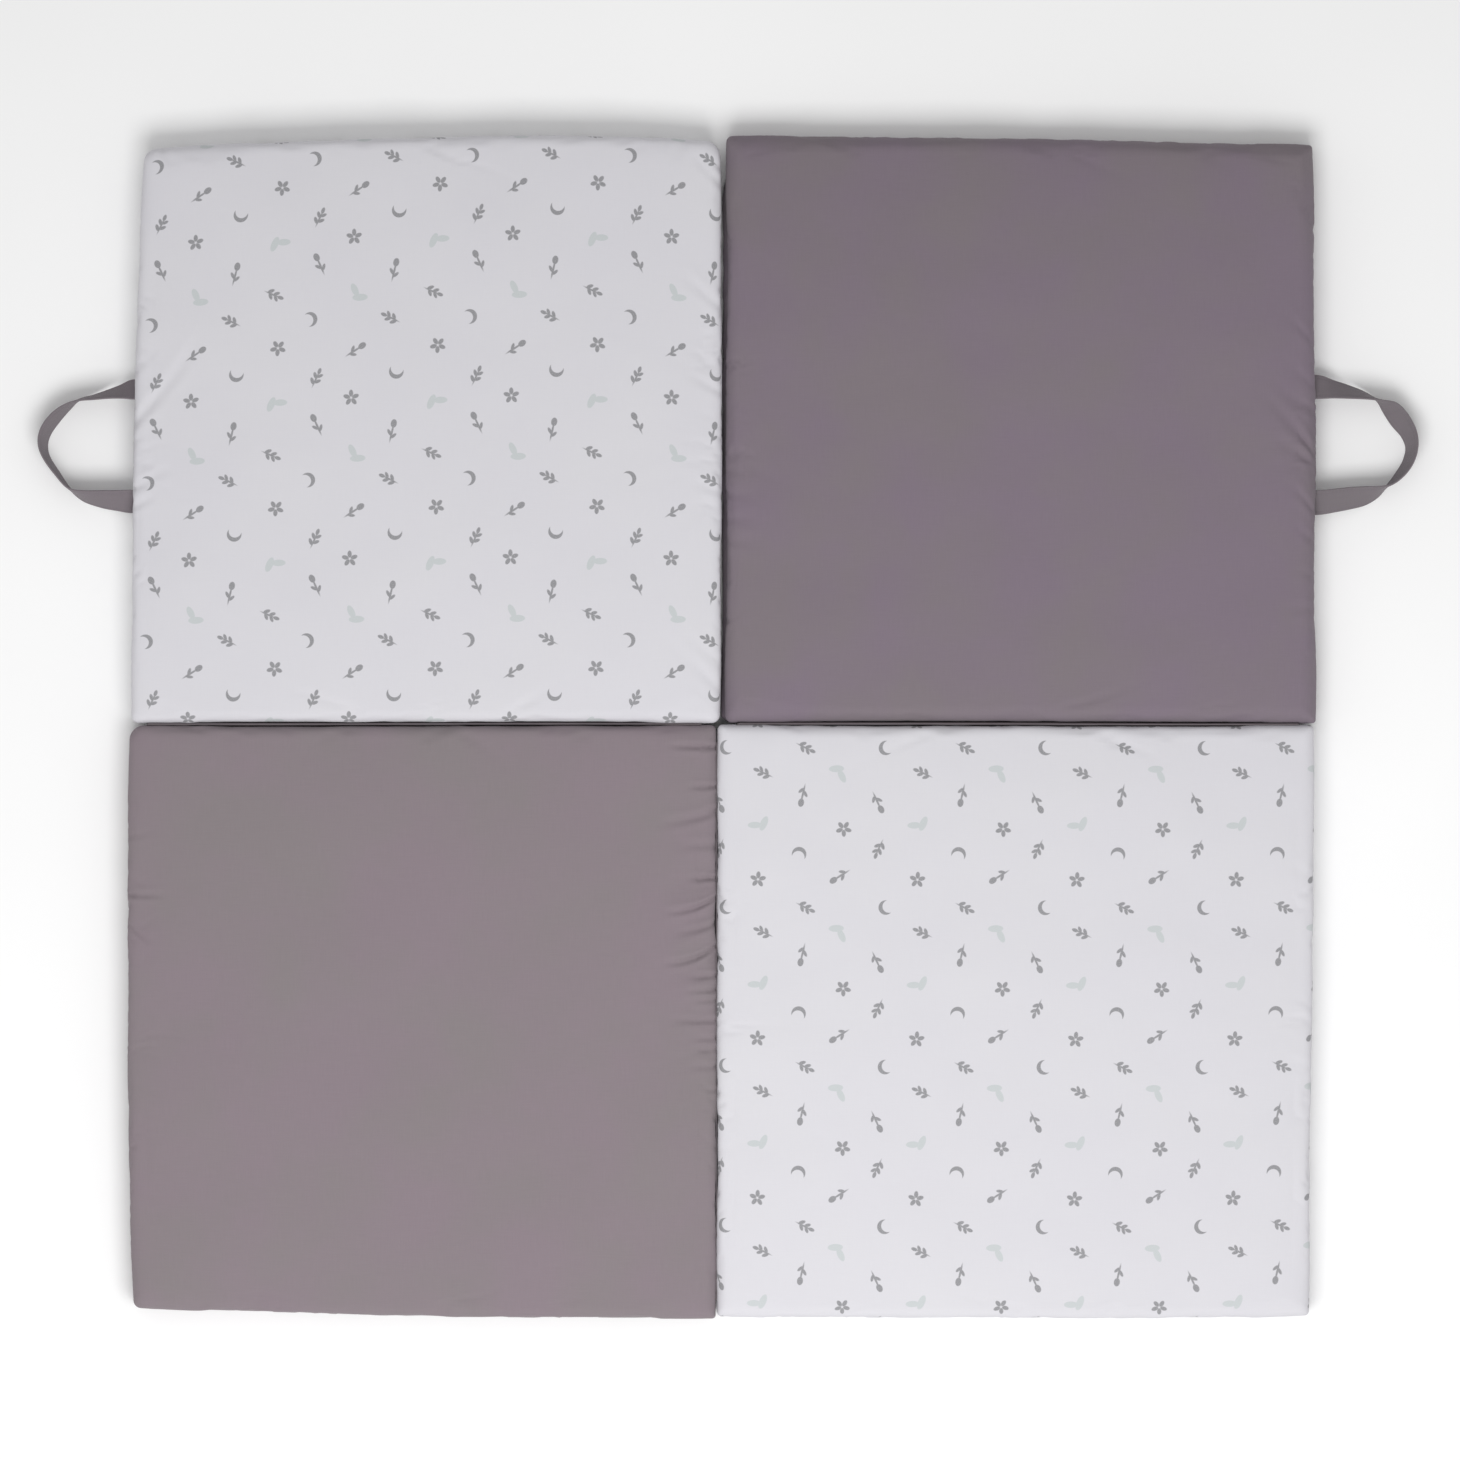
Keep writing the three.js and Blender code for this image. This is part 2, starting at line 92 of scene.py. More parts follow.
# Creases run in from a side. Each row holds, in millimetres, where on the side it starts, from
# its left or front end, its length inwards, width and depth. Two more numbers, if given, are its
# drift along the side for each metre inwards and for the square of that.
BACK_LEFT_CREASES = dict(
    left=[
        (183, 22, 7, 0.9, 0.48, 0), (199, 34, 8, 1.05, 0.54, 0),
        (255, 58, 13, 1.8, 1, 5.1), (300, 24, 9, 0.6, 0.8, 0),
    ],
    right=[
        (28, 50, 11, 0.6, 0.94, 0), (50, 36, 10, 0.45, 0.8, 0),
        (193, 28, 8, 0.75, 0.36, 0), (277, 32, 8, 0.9, 0.55, 0),
        (348, 36, 9, 1.05, 0.82, 0), (452, 26, 8, 1.2, 0.9, 0),
        (466, 20, 7, 1.05, 0.55, 0),
    ],
    back=[
        (16, 15, 8, 1.65, 0.4, 0), (462, 20, 8, 0.9, -0.5, 0),
    ],
)
BACK_RIGHT_CREASES = dict(
    right=[
        (98, 30, 8, 0.7), (125, 18, 7, 0.7, 0.3, 0),
        (155, 20, 8, 0.9, 0.6, 0), (180, 26, 8, 1.25, 1, 0),
        (221, 38, 8, 1.25, 0.55, 0), (229, 46, 10, 2.15, 1.15, 0),
        (265, 36, 9, 1.1, 0.55, 0), (286, 28, 9, 0.7, 0.8, 0),
        (322, 30, 8, 1.1, 1, 0),
    ],
    left=[
        (152, 30, 8, 0.7), (171, 28, 8, 0.9),
        (191, 30, 8, 0.7), (211, 26, 8, 0.7),
    ],
)
FRONT_LEFT_CREASES = dict(
    right=[
        (478.3, 42, 4.5, 2.85, 0.04, 0), (445.6, 24, 4, 2.85),
        (426.7, 14, 4, 1.3), (424.7, 50, 6.5, 1.95, -0.3, 2),
        (397, 34, 6.5, 1.3), (369.2, 24, 4, 3.25),
        (353.3, 44, 4.5, 3.25, -0.62, 7.9), (331.5, 36, 5, 1.95, -0.35, 3),
        (312.6, 46, 4.5, 3.5, -0.7, 8.4), (287.8, 24, 4.5, 1.95, -0.05, 0),
        (275.9, 28, 4, 1.95, -0.05, 0), (267, 22, 4, 1.6),
        (250.1, 38, 5, 1.95), (235.2, 22, 4.5, 1.6),
        (225.3, 20, 4.5, 1.3), (211.4, 26, 5, 1.3),
        (191.5, 12, 4, 1.6), (372, 60, 22, 1.2, -0.3, 0),
        (343, 52, 18, 1, -0.45, 0), (302, 60, 22, 1.2, -0.35, 0),
        (262, 50, 24, 1, -0.1, 0),
    ],
    left=[
        (353, 34, 4.5, 1.8), (328, 22, 4.5, 1.55, -0.78, 0),
        (402, 20, 4.5, 1, 0.2, 0),
    ],
)
FRONT_RIGHT_CREASES = dict(
    left=[
        (352, 22, 8, 0.5), (140, 20, 8, 0.4, 0.2, 0),
    ],
    right=[
        (210, 28, 8, 0.5, 0.3, 0), (372, 24, 8, 0.4, 0.4, 0),
    ],
)

# The panels. corners: x and y where the straight sides would meet, and the radius of the round.
# bows: how a side leaves the straight line, outwards, by one, two and three half waves over its
# length. swells: how far a side's wall swells out below the seam, and up to where along it.
SWELL_FADE = 0.004
PANELS = {
    "back_left": dict(
        cloth="printed_cotton", softness=0.10,
        corners=dict(
            front_left=(-0.5049, 0.0047, 0.006), front_right=(-0.0070, 0.0043, 0.007),
            back_left=(-0.4939, 0.4893, 0.010), back_right=(-0.0069, 0.4958, 0.012),
        ),
        bows=dict(
            front=(0, 0.0002, 0), right=(0.0012, 0, 0.0001),
            back=(0.0088, -0.0010, 0.0009), left=(0.0029, -0.0004, 0),
        ),
        creases=BACK_LEFT_CREASES,
    ),
    "back_right": dict(
        cloth="plain_cotton", softness=1.15,
        corners=dict(
            front_left=(-0.0031, 0.0045, 0.006), front_right=(0.4973, 0.0042, 0.003),
            back_left=(-0.0020, 0.5014, 0.005), back_right=(0.4941, 0.4936, 0.003),
        ),
        bows=dict(
            front=(-0.0002, -0.0003, 0.0001), right=(0.0010, -0.0006, 0),
            back=(0.0021, 0, -0.0001), left=(-0.0006, 0, 0),
        ),
        swells=dict(left=(0.0037, 0.442)),
        creases=BACK_RIGHT_CREASES,
    ),
    "front_left": dict(
        cloth="plain_cotton", softness=0.10,
        corners=dict(
            front_left=(-0.5029, -0.4903, 0.006), front_right=(-0.0106, -0.4992, 0.003),
            back_left=(-0.5062, 0.0027, 0.012), back_right=(-0.0102, 0.0029, 0.004),
        ),
        bows=dict(
            front=(0.0030, 0, -0.0001), right=(0.0001, 0.0002, 0),
            back=(0.0002, -0.0002, 0), left=(0.0034, 0.0003, 0.0004),
        ),
        creases=FRONT_LEFT_CREASES,
    ),
    "front_right": dict(
        cloth="printed_cotton", softness=0.10,
        corners=dict(
            front_left=(-0.0098, -0.4973, 0.004), front_right=(0.4911, -0.4966, 0.004),
            back_left=(-0.0094, 0.0032, 0.004), back_right=(0.4951, 0.0029, 0.004),
        ),
        bows=dict(
            front=(0.0028, -0.0004, 0.0005), right=(0, -0.0005, 0),
            back=(-0.0001, 0.0001, 0), left=(0, 0.0001, 0),
        ),
        creases=FRONT_RIGHT_CREASES,
    ),
}

# The sides in the order in which a ring goes round a panel. ends: the side's own two corners,
# left or front first. faces: the opposite side. In the panel's own plan, start is the corner
# where the ring comes in, and the ring goes ahead with the panel's inside on its left.
Side = namedtuple("Side", "name ends faces out start cells")
SIDES = [
    Side("front", ("front_left", "front_right"), "back", (0, -1), (0, 0), CELLS_ACROSS),
    Side("right", ("front_right", "back_right"), "left", (1, 0), (1, 0), CELLS_UP),
    Side("back", ("back_left", "back_right"), "front", (0, 1), (1, 1), CELLS_ACROSS),
    Side("left", ("front_left", "back_left"), "right", (-1, 0), (0, 1), CELLS_UP),
]
SIDE_NAMED = {side.name: side for side in SIDES}


# Lines and meshes

def smooth_line(rows, shares, axes):
    """Rows along a smooth line at shares of its length, and that length. Between two given rows
    each column is the Catmull-Rom cubic of the four nearest rows. The places are then evened
    out by the length of the first few columns."""
    rows = np.asarray(rows, float)
    wide = np.vstack([2 * rows[0] - rows[1], rows, 2 * rows[-1] - rows[-2]])
    t = np.linspace(0, len(rows) - 1, 40 * len(rows))
    first = np.minimum(t.astype(int), len(rows) - 2)
    f = (t - first)[:, None]
    a, b, c, d = (wide[first + k] for k in range(4))
    line = b + 0.5 * f * (c - a + f * (2 * a - 5 * b + 4 * c - d + f * (3 * (b - c) + d - a)))
    steps = np.linalg.norm(np.diff(line[:, :axes], axis=0), axis=1)
    gone = np.concatenate([[0], np.cumsum(steps)])
    placed = [np.interp(shares * gone[-1], gone, column) for column in line.T]
    return np.stack(placed, axis=1), gone[-1]


def quad_mesh(name, points, faces):
    """A smooth-shaded mesh of four-sided faces."""
    mesh = bpy.data.meshes.new(name)
    mesh.vertices.add(len(points))
    mesh.vertices.foreach_set("co", np.asarray(points, np.float32).ravel())
    mesh.loops.add(faces.size)
    mesh.loops.foreach_set("vertex_index", faces.astype(np.int32).ravel())
    mesh.polygons.add(len(faces))
    mesh.polygons.foreach_set("loop_start", np.arange(0, faces.size, 4, dtype=np.int32))
    mesh.polygons.foreach_set("use_smooth", np.ones(len(faces), bool))
    mesh.update(calc_edges=True)
    return mesh


def new_object(name, data):
    made = bpy.data.objects.new(name, data)
    bpy.context.scene.collection.objects.link(made)
    return made


def give_uv(mesh, uv):
    """One UV place for each corner of each face, in metres of cloth."""
    layer = mesh.uv_layers.new(name="cloth")
    layer.data.foreach_set("uv", np.asarray(uv, np.float32).ravel())


def walls_between(rings):
    """Faces between each ring and the next, in rows of point numbers."""
    near, far = rings[:-1], rings[1:]
    return np.stack([near, np.roll(near, -1, 1), np.roll(far, -1, 1), far], axis=-1)


def loft_faces(rings, around):
    """Faces of a closed loft of rings that go right-handed about the way ahead: walls between
    neighbouring rings, and over each end a lid that joins a point to the one facing it."""
    index = np.arange(rings * around).reshape(rings, around)
    half = around // 2
    lids = []
    for ring in (index[0][::-1], index[-1]):
        low, high = ring[:half], ring[::-1][:half]
        lids.append(np.stack([low[:-1], low[1:], high[1:], high[:-1]], axis=-1))
    return np.concatenate([walls_between(index).reshape(-1, 4), *lids])


# Panels

def corner_of(panel, name):
    return np.array(panel["corners"][name][:2])


def span(panel, side):
    """The mean length of a side and the side that it faces."""
    runs = []
    for low, high in (SIDE_NAMED[side].ends, SIDE_NAMED[SIDE_NAMED[side].faces].ends):
        runs.append(np.linalg.norm(corner_of(panel, high) - corner_of(panel, low)))
    return sum(runs) / 2


def plan_size(panel):
    return np.array([span(panel, "front"), span(panel, "left")])


def side_point(panel, side, t):
    """A point of a side at t from 0 to 1: the straight line between its corners, and outwards
    bow times sin pi t, skew times sin 2 pi t and shoulder times sin 3 pi t."""
    low, high = (corner_of(panel, end) for end in SIDE_NAMED[side].ends)
    bow, skew, shoulder = panel["bows"][side]
    wave = np.pi * t
    out = bow * np.sin(wave) + skew * np.sin(2 * wave) + shoulder * np.sin(3 * wave)
    return low * (1 - t) + high * t + out * np.array(SIDE_NAMED[side].out)


def laid_out(panel, flat):
    """From the panel's own plan to its place on the floor: the blend of front and back sides
    and the blend of left and right sides are added, and the blend of the corners taken off."""
    u, v = np.moveaxis(flat / plan_size(panel), -1, 0)[..., None]
    across = side_point(panel, "front", u) * (1 - v) + side_point(panel, "back", u) * v
    along = side_point(panel, "left", v) * (1 - u) + side_point(panel, "right", v) * u
    front = corner_of(panel, "front_left") * (1 - u) + corner_of(panel, "front_right") * u
    back = corner_of(panel, "back_left") * (1 - u) + corner_of(panel, "back_right") * u
    return across + along - front * (1 - v) - back * v


def rings_of(panel, insets):
    """Rings at some insets in the panel's own plan, and the way out at each point. On a side,
    the first and last few points turn through the half corners: from the corner's centre, one
    radius times the cosine of the turn outwards and times its sine along the side."""
    size = plan_size(panel)
    inset = np.asarray(insets, float)[:, None]
    places, outs = [], []
    for side in SIDES:
        k = np.arange(side.cells)
        straight = np.clip((k - CORNER_CELLS) / (side.cells - 2 * CORNER_CELLS), 0, 1)
        entering = np.minimum(k / CORNER_CELLS - 1, 0)
        leaving = np.maximum((k - side.cells) / CORNER_CELLS + 1, 0)
        turn = np.pi / 4 * (entering + leaving)
        out = np.array(side.out, float)
        ahead = np.array([-out[1], out[0]])
        low, high = (panel["corners"][end][2] for end in side.ends)
        enters, leaves = (low, high) if ahead.sum() > 0 else (high, low)
        radius = enters + (leaves - enters) * straight
        run = size @ np.abs(ahead)
        first, last = inset + enters, run - inset - leaves
        along = first + (last - first) * straight + radius * np.sin(turn)
        inwards = inset + radius * (1 - np.cos(turn))
        start = np.array(side.start) * size
        places.append(start + along[..., None] * ahead - inwards[..., None] * out)
        outs.append(np.cos(turn)[:, None] * out + np.sin(turn)[:, None] * ahead)
    return np.concatenate(places, axis=1), np.concatenate(outs, axis=0)


def filled(ring):
    """The grid inside a ring: opposite sides are blended both ways and the blend of the four
    corners is taken off."""
    closed = np.vstack([ring, ring[:1]])
    ends = np.cumsum([0] + [side.cells for side in SIDES])
    front, right, back, left = (closed[a : b + 1] for a, b in zip(ends[:-1], ends[1:]))
    back, left = back[::-1], left[::-1]
    u = np.linspace(0, 1, len(front))[:, None, None]
    v = np.linspace(0, 1, len(right))[None, :, None]
    across = front[:, None] * (1 - v) + back[:, None] * v
    along = left[None] * (1 - u) + right[None] * u
    corners = (front[0] * (1 - u) + front[-1] * u) * (1 - v) + (back[0] * (1 - u) + back[-1] * u) * v
    return across + along - corners


def rim(grid):
    """The border of a grid as a ring, in the order of the sides."""
    return np.concatenate([grid[:-1, 0], grid[-1, :-1], grid[:0:-1, -1], grid[0, :0:-1]])


def section_rows(table, count, finer_at_end):
    """Rows of a section, spaced by arc length and closer near the seam: the share of a row is
    a power of its number. Gives insets, heights and arc lengths."""
    share = np.linspace(0, 1, count + 1)
    share = 1 - (1 - share) ** ROW_CROWDING if finer_at_end else share**ROW_CROWDING
    rows, length = smooth_line(table, share, 2)
    return rows[:, 0], rows[:, 1], share * length


def swelling(panel, out, rows_share, along):
    """How the walls under the seam swell out: by a sine over their height, up to a place along
    the side, where a logistic curve ends it."""
    push = np.zeros((len(rows_share), out.shape[0], 2))
    for side, (depth, until) in panel.get("swells", {}).items():
        facing = np.array(SIDE_NAMED[side].out, float)
        square = (out @ facing).clip(0) ** 4
        window = 1 / (1 + np.exp((along - until) / SWELL_FADE))
        push += (np.sin(np.pi * rows_share)[:, None] * square * window)[..., None] * depth * facing
    return push


def panel_shell(panel):
    """A panel's closed shell. The side is the section carried round the outline. The top and
    the underside are grids inside the first and last rings, and the top's crown is the product
    over the four sides of 1 minus e to the minus distance. Gives the points, the cloth's own
    coordinates for both halves, and the seam's row."""
    firm, soft = np.array(SECTION_OVER_FIRM), np.array(SECTION_OVER_SOFT)
    section_over = firm + (soft - firm) * panel["softness"]
    low_inset, low_height, low_arc = section_rows(SECTION_UNDER, ROWS_UNDER_SEAM, True)
    high_inset, high_height, high_arc = section_rows(section_over, ROWS_OVER_SEAM, False)
    insets = np.concatenate([low_inset, high_inset[1:]])
    heights = np.concatenate([low_height, high_height[1:]])
    flat, out = rings_of(panel, insets)
    under, top = filled(flat[0]), filled(flat[-1])
    size = plan_size(panel)
    rise = 1 - np.exp(-(np.minimum(top, size - top) - insets[-1]).clip(0) / CROWN_RUN)
    far_rise = 1 - np.exp(-(np.maximum(top, size - top) - insets[-1]) / CROWN_RUN)
    crown = CROWN * rise[..., 0] * rise[..., 1] * far_rise[..., 0] * far_rise[..., 1]

    def raised(plan, height):
        return np.dstack([laid_out(panel, plan), np.broadcast_to(height, plan.shape[:-1])])

    points = dict(
        under=raised(under, 0.0),
        side=raised(flat, heights[:, None]),
        top=raised(top, THICKNESS + crown),
    )
    seam = len(low_inset) - 1
    along = np.where(np.abs(out[:, 0]) > 0.7, flat[0, :, 1], flat[0, :, 0])
    points["side"][: seam + 1, :, :2] += swelling(panel, out, np.linspace(0, 1, seam + 1), along)
    arc_to_top = np.concatenate([high_arc[-1] + low_arc[-1] - low_arc[:-1], high_arc[-1] - high_arc])
    arc_to_under = np.concatenate([low_arc, low_arc[-1] + high_arc[1:]])
    drop_from_top = arc_to_top - (insets[-1] - insets)
    drop_from_under = arc_to_under - (insets[0] - insets)
    cloth = dict(
        under=under,
        side=flat + drop_from_top[:, None, None] * out,
        side_low=flat + drop_from_under[:, None, None] * out,
        top=top,
    )
    return points, cloth, seam


def shell_index(step):
    """The numbers of a shell's points on every step-th grid line: under, top, and the side,
    whose first and last rows are the rims of the two."""
    across, up = CELLS_ACROSS // step, CELLS_UP // step
    rows = (ROWS_UNDER_SEAM + ROWS_OVER_SEAM) // step
    count = (across + 1) * (up + 1)
    under = np.arange(count).reshape(across + 1, up + 1)
    top = under + count
    around = 2 * (across + up)
    middle = 2 * count + np.arange((rows - 1) * around).reshape(rows - 1, around)
    return dict(under=under, top=top, side=np.vstack([rim(under), middle, rim(top)]))


def shell_faces(index, seam):
    """Faces of the lower half, from the underside to the seam, and of the upper half."""
    walls = walls_between(index["side"])

    def sheet(grid):
        quads = np.stack([grid[:-1, :-1], grid[1:, :-1], grid[1:, 1:], grid[:-1, 1:]], axis=-1)
        return quads.reshape(-1, 4)

    lower = np.concatenate([sheet(index["under"])[:, ::-1], walls[:seam].reshape(-1, 4)])
    upper = np.concatenate([walls[seam:].reshape(-1, 4), sheet(index["top"])])
    return lower, upper


def gathered(values, index):
    """One row for each numbered point, from arrays over the under, side and top grids."""
    width = values["top"].shape[-1]
    flat = np.zeros((index["side"].max() + 1, width))
    for part in ("under", "top", "side"):
        flat[index[part]] = values[part]
    return flat


def spread_out(flat, index):
    """The inverse of gathered."""
    return {part: flat[index[part]] for part in ("under", "side", "top")}


def between(values, axis, closed):
    """Twice as many steps along an axis. A new row is the cubic mean of the four rows about
    it: nine parts of each near row less one part of each far row, over sixteen."""
    rows = np.moveaxis(values, axis, 0)
    if closed:
        wide = np.concatenate([rows[-1:], rows, rows[:2]])
    else:
        wide = np.concatenate([2 * rows[:1] - rows[1:2], rows, 2 * rows[-1:] - rows[-2:-1]])
    middle = (9 * (wide[1:-2] + wide[2:-1]) - wide[:-3] - wide[3:]) / 16
    fine = np.empty((len(rows) + len(middle), *rows.shape[1:]))
    fine[::2], fine[1::2] = rows, middle
    return np.moveaxis(fine, 0, axis)


# Cloth simulation
FRAMES = 20
MOVE_CAP = 0.0010  # the filling holds the cover this near to its rest shape
FILLING_HOLD = 0.10  # how firmly the filling holds the cover's top
CLOTH_SETTINGS = dict(
    quality=6,
    mass=0.25,
    tension_stiffness=18,
    compression_stiffness=18,
    shear_stiffness=6,
    bending_stiffness=0.35,
    shrink_min=-0.012,  # below 0: the cover is cut this much larger than the filling
    vertex_group_mass="held",
    pin_stiffness=1.0,
    use_pressure=True,
    uniform_pressure_force=4.0,
)


def simulated(points, faces, held, filling):
    """Where the cloth simulation leaves a shell's points. The cover is pressed out from inside,
    without gravity, for all the frames. Its held points stay, and the filling draws the others
    softly back."""
    piece = new_object("cover_at_work", quad_mesh("cover_at_work", points, faces))
    group = piece.vertex_groups.new(name="held")
    group.add(np.flatnonzero(held).tolist(), 1.0, "REPLACE")
    group.add(np.flatnonzero(filling & ~held).tolist(), FILLING_HOLD, "REPLACE")
    cloth = piece.modifiers.new("cloth", "CLOTH")
    for setting, value in CLOTH_SETTINGS.items():
        setattr(cloth.settings, setting, value)
    cloth.settings.effector_weights.gravity = 0
    cloth.collision_settings.use_collision = False
    cloth.point_cache.frame_start = 1
    cloth.point_cache.frame_end = FRAMES
    for number in range(1, FRAMES + 1):
        bpy.context.scene.frame_set(number)
    shape = piece.evaluated_get(bpy.context.evaluated_depsgraph_get()).to_mesh()
    moved = np.empty(len(points) * 3, np.float32)
    shape.vertices.foreach_get("co", moved)
    bpy.context.scene.frame_set(1)
    bpy.data.objects.remove(piece)
    return moved.reshape(-1, 3).astype(float)


def pressed_out(points, seam):
    """How far each fine point moves in the simulation, which runs on every second grid line.
    Moves over the cap are drawn back softly, by a hyperbolic tangent."""
    index = shell_index(2)
    flat = gathered({part: grid[::2, ::2] for part, grid in points.items()}, index)
    faces = np.concatenate(shell_faces(index, seam // 2))
    held = np.zeros(len(flat), bool)
    held[index["under"]] = True
    held[index["side"][seam // 2]] = True
    filling = flat[:, 2] > THICKNESS - 0.5 * MM
    move = simulated(flat, faces, held, filling) - flat
    length = np.linalg.norm(move, axis=1, keepdims=True).clip(1e-9)
    move *= MOVE_CAP * np.tanh(length / MOVE_CAP) / length
    fine = {}
    for part, moves in spread_out(move, index).items():
        fine[part] = between(between(moves, 0, False), 1, part == "side")
    return fine


# The underside is another piece of cloth, so its print starts elsewhere
UNDER_CLOTH_SHIFT = (0.052, 0.029)

# Creases: the bell across, the ridges beside it, and its end over the rounded edge
BELL_SHARPNESS = 2.4
RIDGE_HEIGHT = 0.33
RIDGE_PLACE = 1.9
CREASE_WIDENING = 0.5
CREASE_END = 0.0090
CREASE_LEVEL_POWER = 0.7  # of how far the cloth faces up

# Puckers, the small gathers along a seam
PUCKER_SPACING = 0.0085
PUCKER_STRAY = 0.42
PUCKER_DEPTH = 0.00045
PUCKER_DEPTH_SHARES = (0.15, 1.0)
PUCKER_WIDTHS = (0.0015, 0.0032)
PUCKER_REACH = 0.011
PUCKER_REACH_SHARES = (0.35, 1.2)
PUCKER_SLANT = 0.22
COARSE_GRID_WIDENING = 1.9

# The soft unevenness of filled cloth: broad waves, as high as this share of their length
UNEVEN_WAVES = 26
UNEVEN_LENGTHS = (0.045, 0.170)
UNEVEN_STEEPNESS = 0.001


def from_side(panel, name, cloth):
    """The distance in from a side, below 0 on the wall, and the place along that side."""
    side = SIDE_NAMED[name]
    out = np.array(side.out)
    inwards = (side.start * plan_size(panel) - cloth) @ out
    return inwards, cloth @ np.abs(out[::-1])


def crease_dents(panel, cloth):
    """How deep the creases go at each point. Across a crease the dent is a bell with a lower
    ridge on each side. It fades with the square of the way inwards to the crease's end, and
    outwards in the same way over the rounded edge. The wall itself takes no crease."""
    dent = np.zeros(len(cloth))
    for side, rows in panel["creases"].items():
        inwards, along = from_side(panel, side, cloth)
        ahead = inwards.clip(0)
        for at, reach, width, depth, *drifts in rows:
            lean, curl = drifts or (0, 0)
            share = inwards / (reach * MM)
            fade = np.where(share > 0, 1 - share**2, 1 - (inwards / CREASE_END) ** 2).clip(0)
            drift = lean * ahead + curl * ahead**2
            breadth = width * MM * (1 + CREASE_WIDENING * share.clip(0, 1))
            off = (along - at * MM - drift) / breadth * BELL_SHARPNESS
            ridges = np.exp(-((off - RIDGE_PLACE) ** 2)) + np.exp(-((off + RIDGE_PLACE) ** 2))
            dent += depth * MM * fade * (np.exp(-(off**2)) - RIDGE_HEIGHT * ridges)
    return dent


def pucker_dents(arc, around, length, rng):
    """Small gathers along the seam. arc is the way up or down from the seam, and around the
    place along it. Each is a bell across, and fades with e to the minus its way from the seam.
    They are wider on the front and back sides, where the grid is coarser."""
    count = int(length / PUCKER_SPACING)
    at = (np.arange(count) + rng.uniform(-PUCKER_STRAY, PUCKER_STRAY, count)) * length / count
    depth = PUCKER_DEPTH * rng.uniform(*PUCKER_DEPTH_SHARES, count) ** 1.5
    on_coarse_grid = at % (length / 2) < length / 4
    width = rng.uniform(*PUCKER_WIDTHS, count) * np.where(on_coarse_grid, COARSE_GRID_WIDENING, 1.0)
    reach = PUCKER_REACH * rng.uniform(*PUCKER_REACH_SHARES, count)
    slant = rng.normal(0, PUCKER_SLANT, count)
    off = around[:, None] - at - slant * arc[:, None]
    off = (off + length / 2) % length - length / 2
    dents = depth * np.exp(-((off / width) ** 2)) * np.exp(-np.abs(arc)[:, None] / reach)
    return dents.sum(axis=1)


def unevenness(points, rng):
    """Broad soft waves over the cloth: a sum of plane waves 45 to 170 mm long."""
    waves = rng.uniform(*UNEVEN_LENGTHS, UNEVEN_WAVES)
    turn = rng.uniform(0, 2 * np.pi, UNEVEN_WAVES)
    phase = rng.uniform(0, 2 * np.pi, UNEVEN_WAVES)
    run = points[:, :1] * np.cos(turn) + points[:, 1:2] * np.sin(turn)
    return UNEVEN_STEEPNESS * (waves * np.sin(2 * np.pi * run / waves + phase)).sum(axis=1)


def normals_of(mesh):
    normals = np.empty(len(mesh.vertices) * 3, np.float32)
    mesh.vertices.foreach_get("normal", normals)
    return normals.reshape(-1, 3).astype(float)


def seam_coordinates(points, seam, index):
    """For each point the arc from the seam, up or down, and the length along the seam."""
    side = points["side"]
    steps = np.linalg.norm(np.diff(side, axis=0), axis=2)
    arc = np.concatenate([np.zeros((1, steps.shape[1])), np.cumsum(steps, axis=0)])
    arc = arc - arc[seam]
    ring = side[seam]
    runs = np.linalg.norm(np.roll(ring, -1, 0) - ring, axis=1)
    around = np.concatenate([[0], np.cumsum(runs)[:-1]])
    far = np.ones(points["top"].shape[:2])
    values = dict(
        under=np.dstack([-far, far]),
        side=np.dstack([arc, np.broadcast_to(around, arc.shape)]),
        top=np.dstack([far, far]),
    )
    return gathered(values, index), runs.sum()


def make_panel(name, panel, seed, material):
    rng = np.random.default_rng(seed)
    points, cloth, seam = panel_shell(panel)
    index = shell_index(1)
    move = pressed_out(points, seam)
    points = {part: points[part] + move[part] for part in points}
    flat = gathered(points, index)
    lower, upper = shell_faces(index, seam)
    faces = np.concatenate([lower, upper])
    mesh = quad_mesh(name, flat, faces)

    over = gathered(cloth, index)
    below = gathered(cloth | {"side": cloth["side_low"]}, index)
    along_seam, seam_length = seam_coordinates(points, seam, index)
    normals = normals_of(mesh)
    dent = crease_dents(panel, over) * normals[:, 2].clip(0) ** CREASE_LEVEL_POWER
    dent += pucker_dents(along_seam[:, 0], along_seam[:, 1], seam_length, rng)
    dent -= unevenness(flat, rng) * (flat[:, 2] > THICKNESS - 2 * MM)
    dent *= flat[:, 2] > 0.5 * MM
    flat = flat - dent[:, None] * normals
    flat[:, 2] = flat[:, 2].clip(0)
    mesh.vertices.foreach_set("co", flat.astype(np.float32).ravel())
    mesh.update()

    give_uv(mesh, np.concatenate([below[lower] + UNDER_CLOTH_SHIFT, over[upper]]))
    piece = new_object(name, mesh)
    mesh.materials.append(material)
    return piece


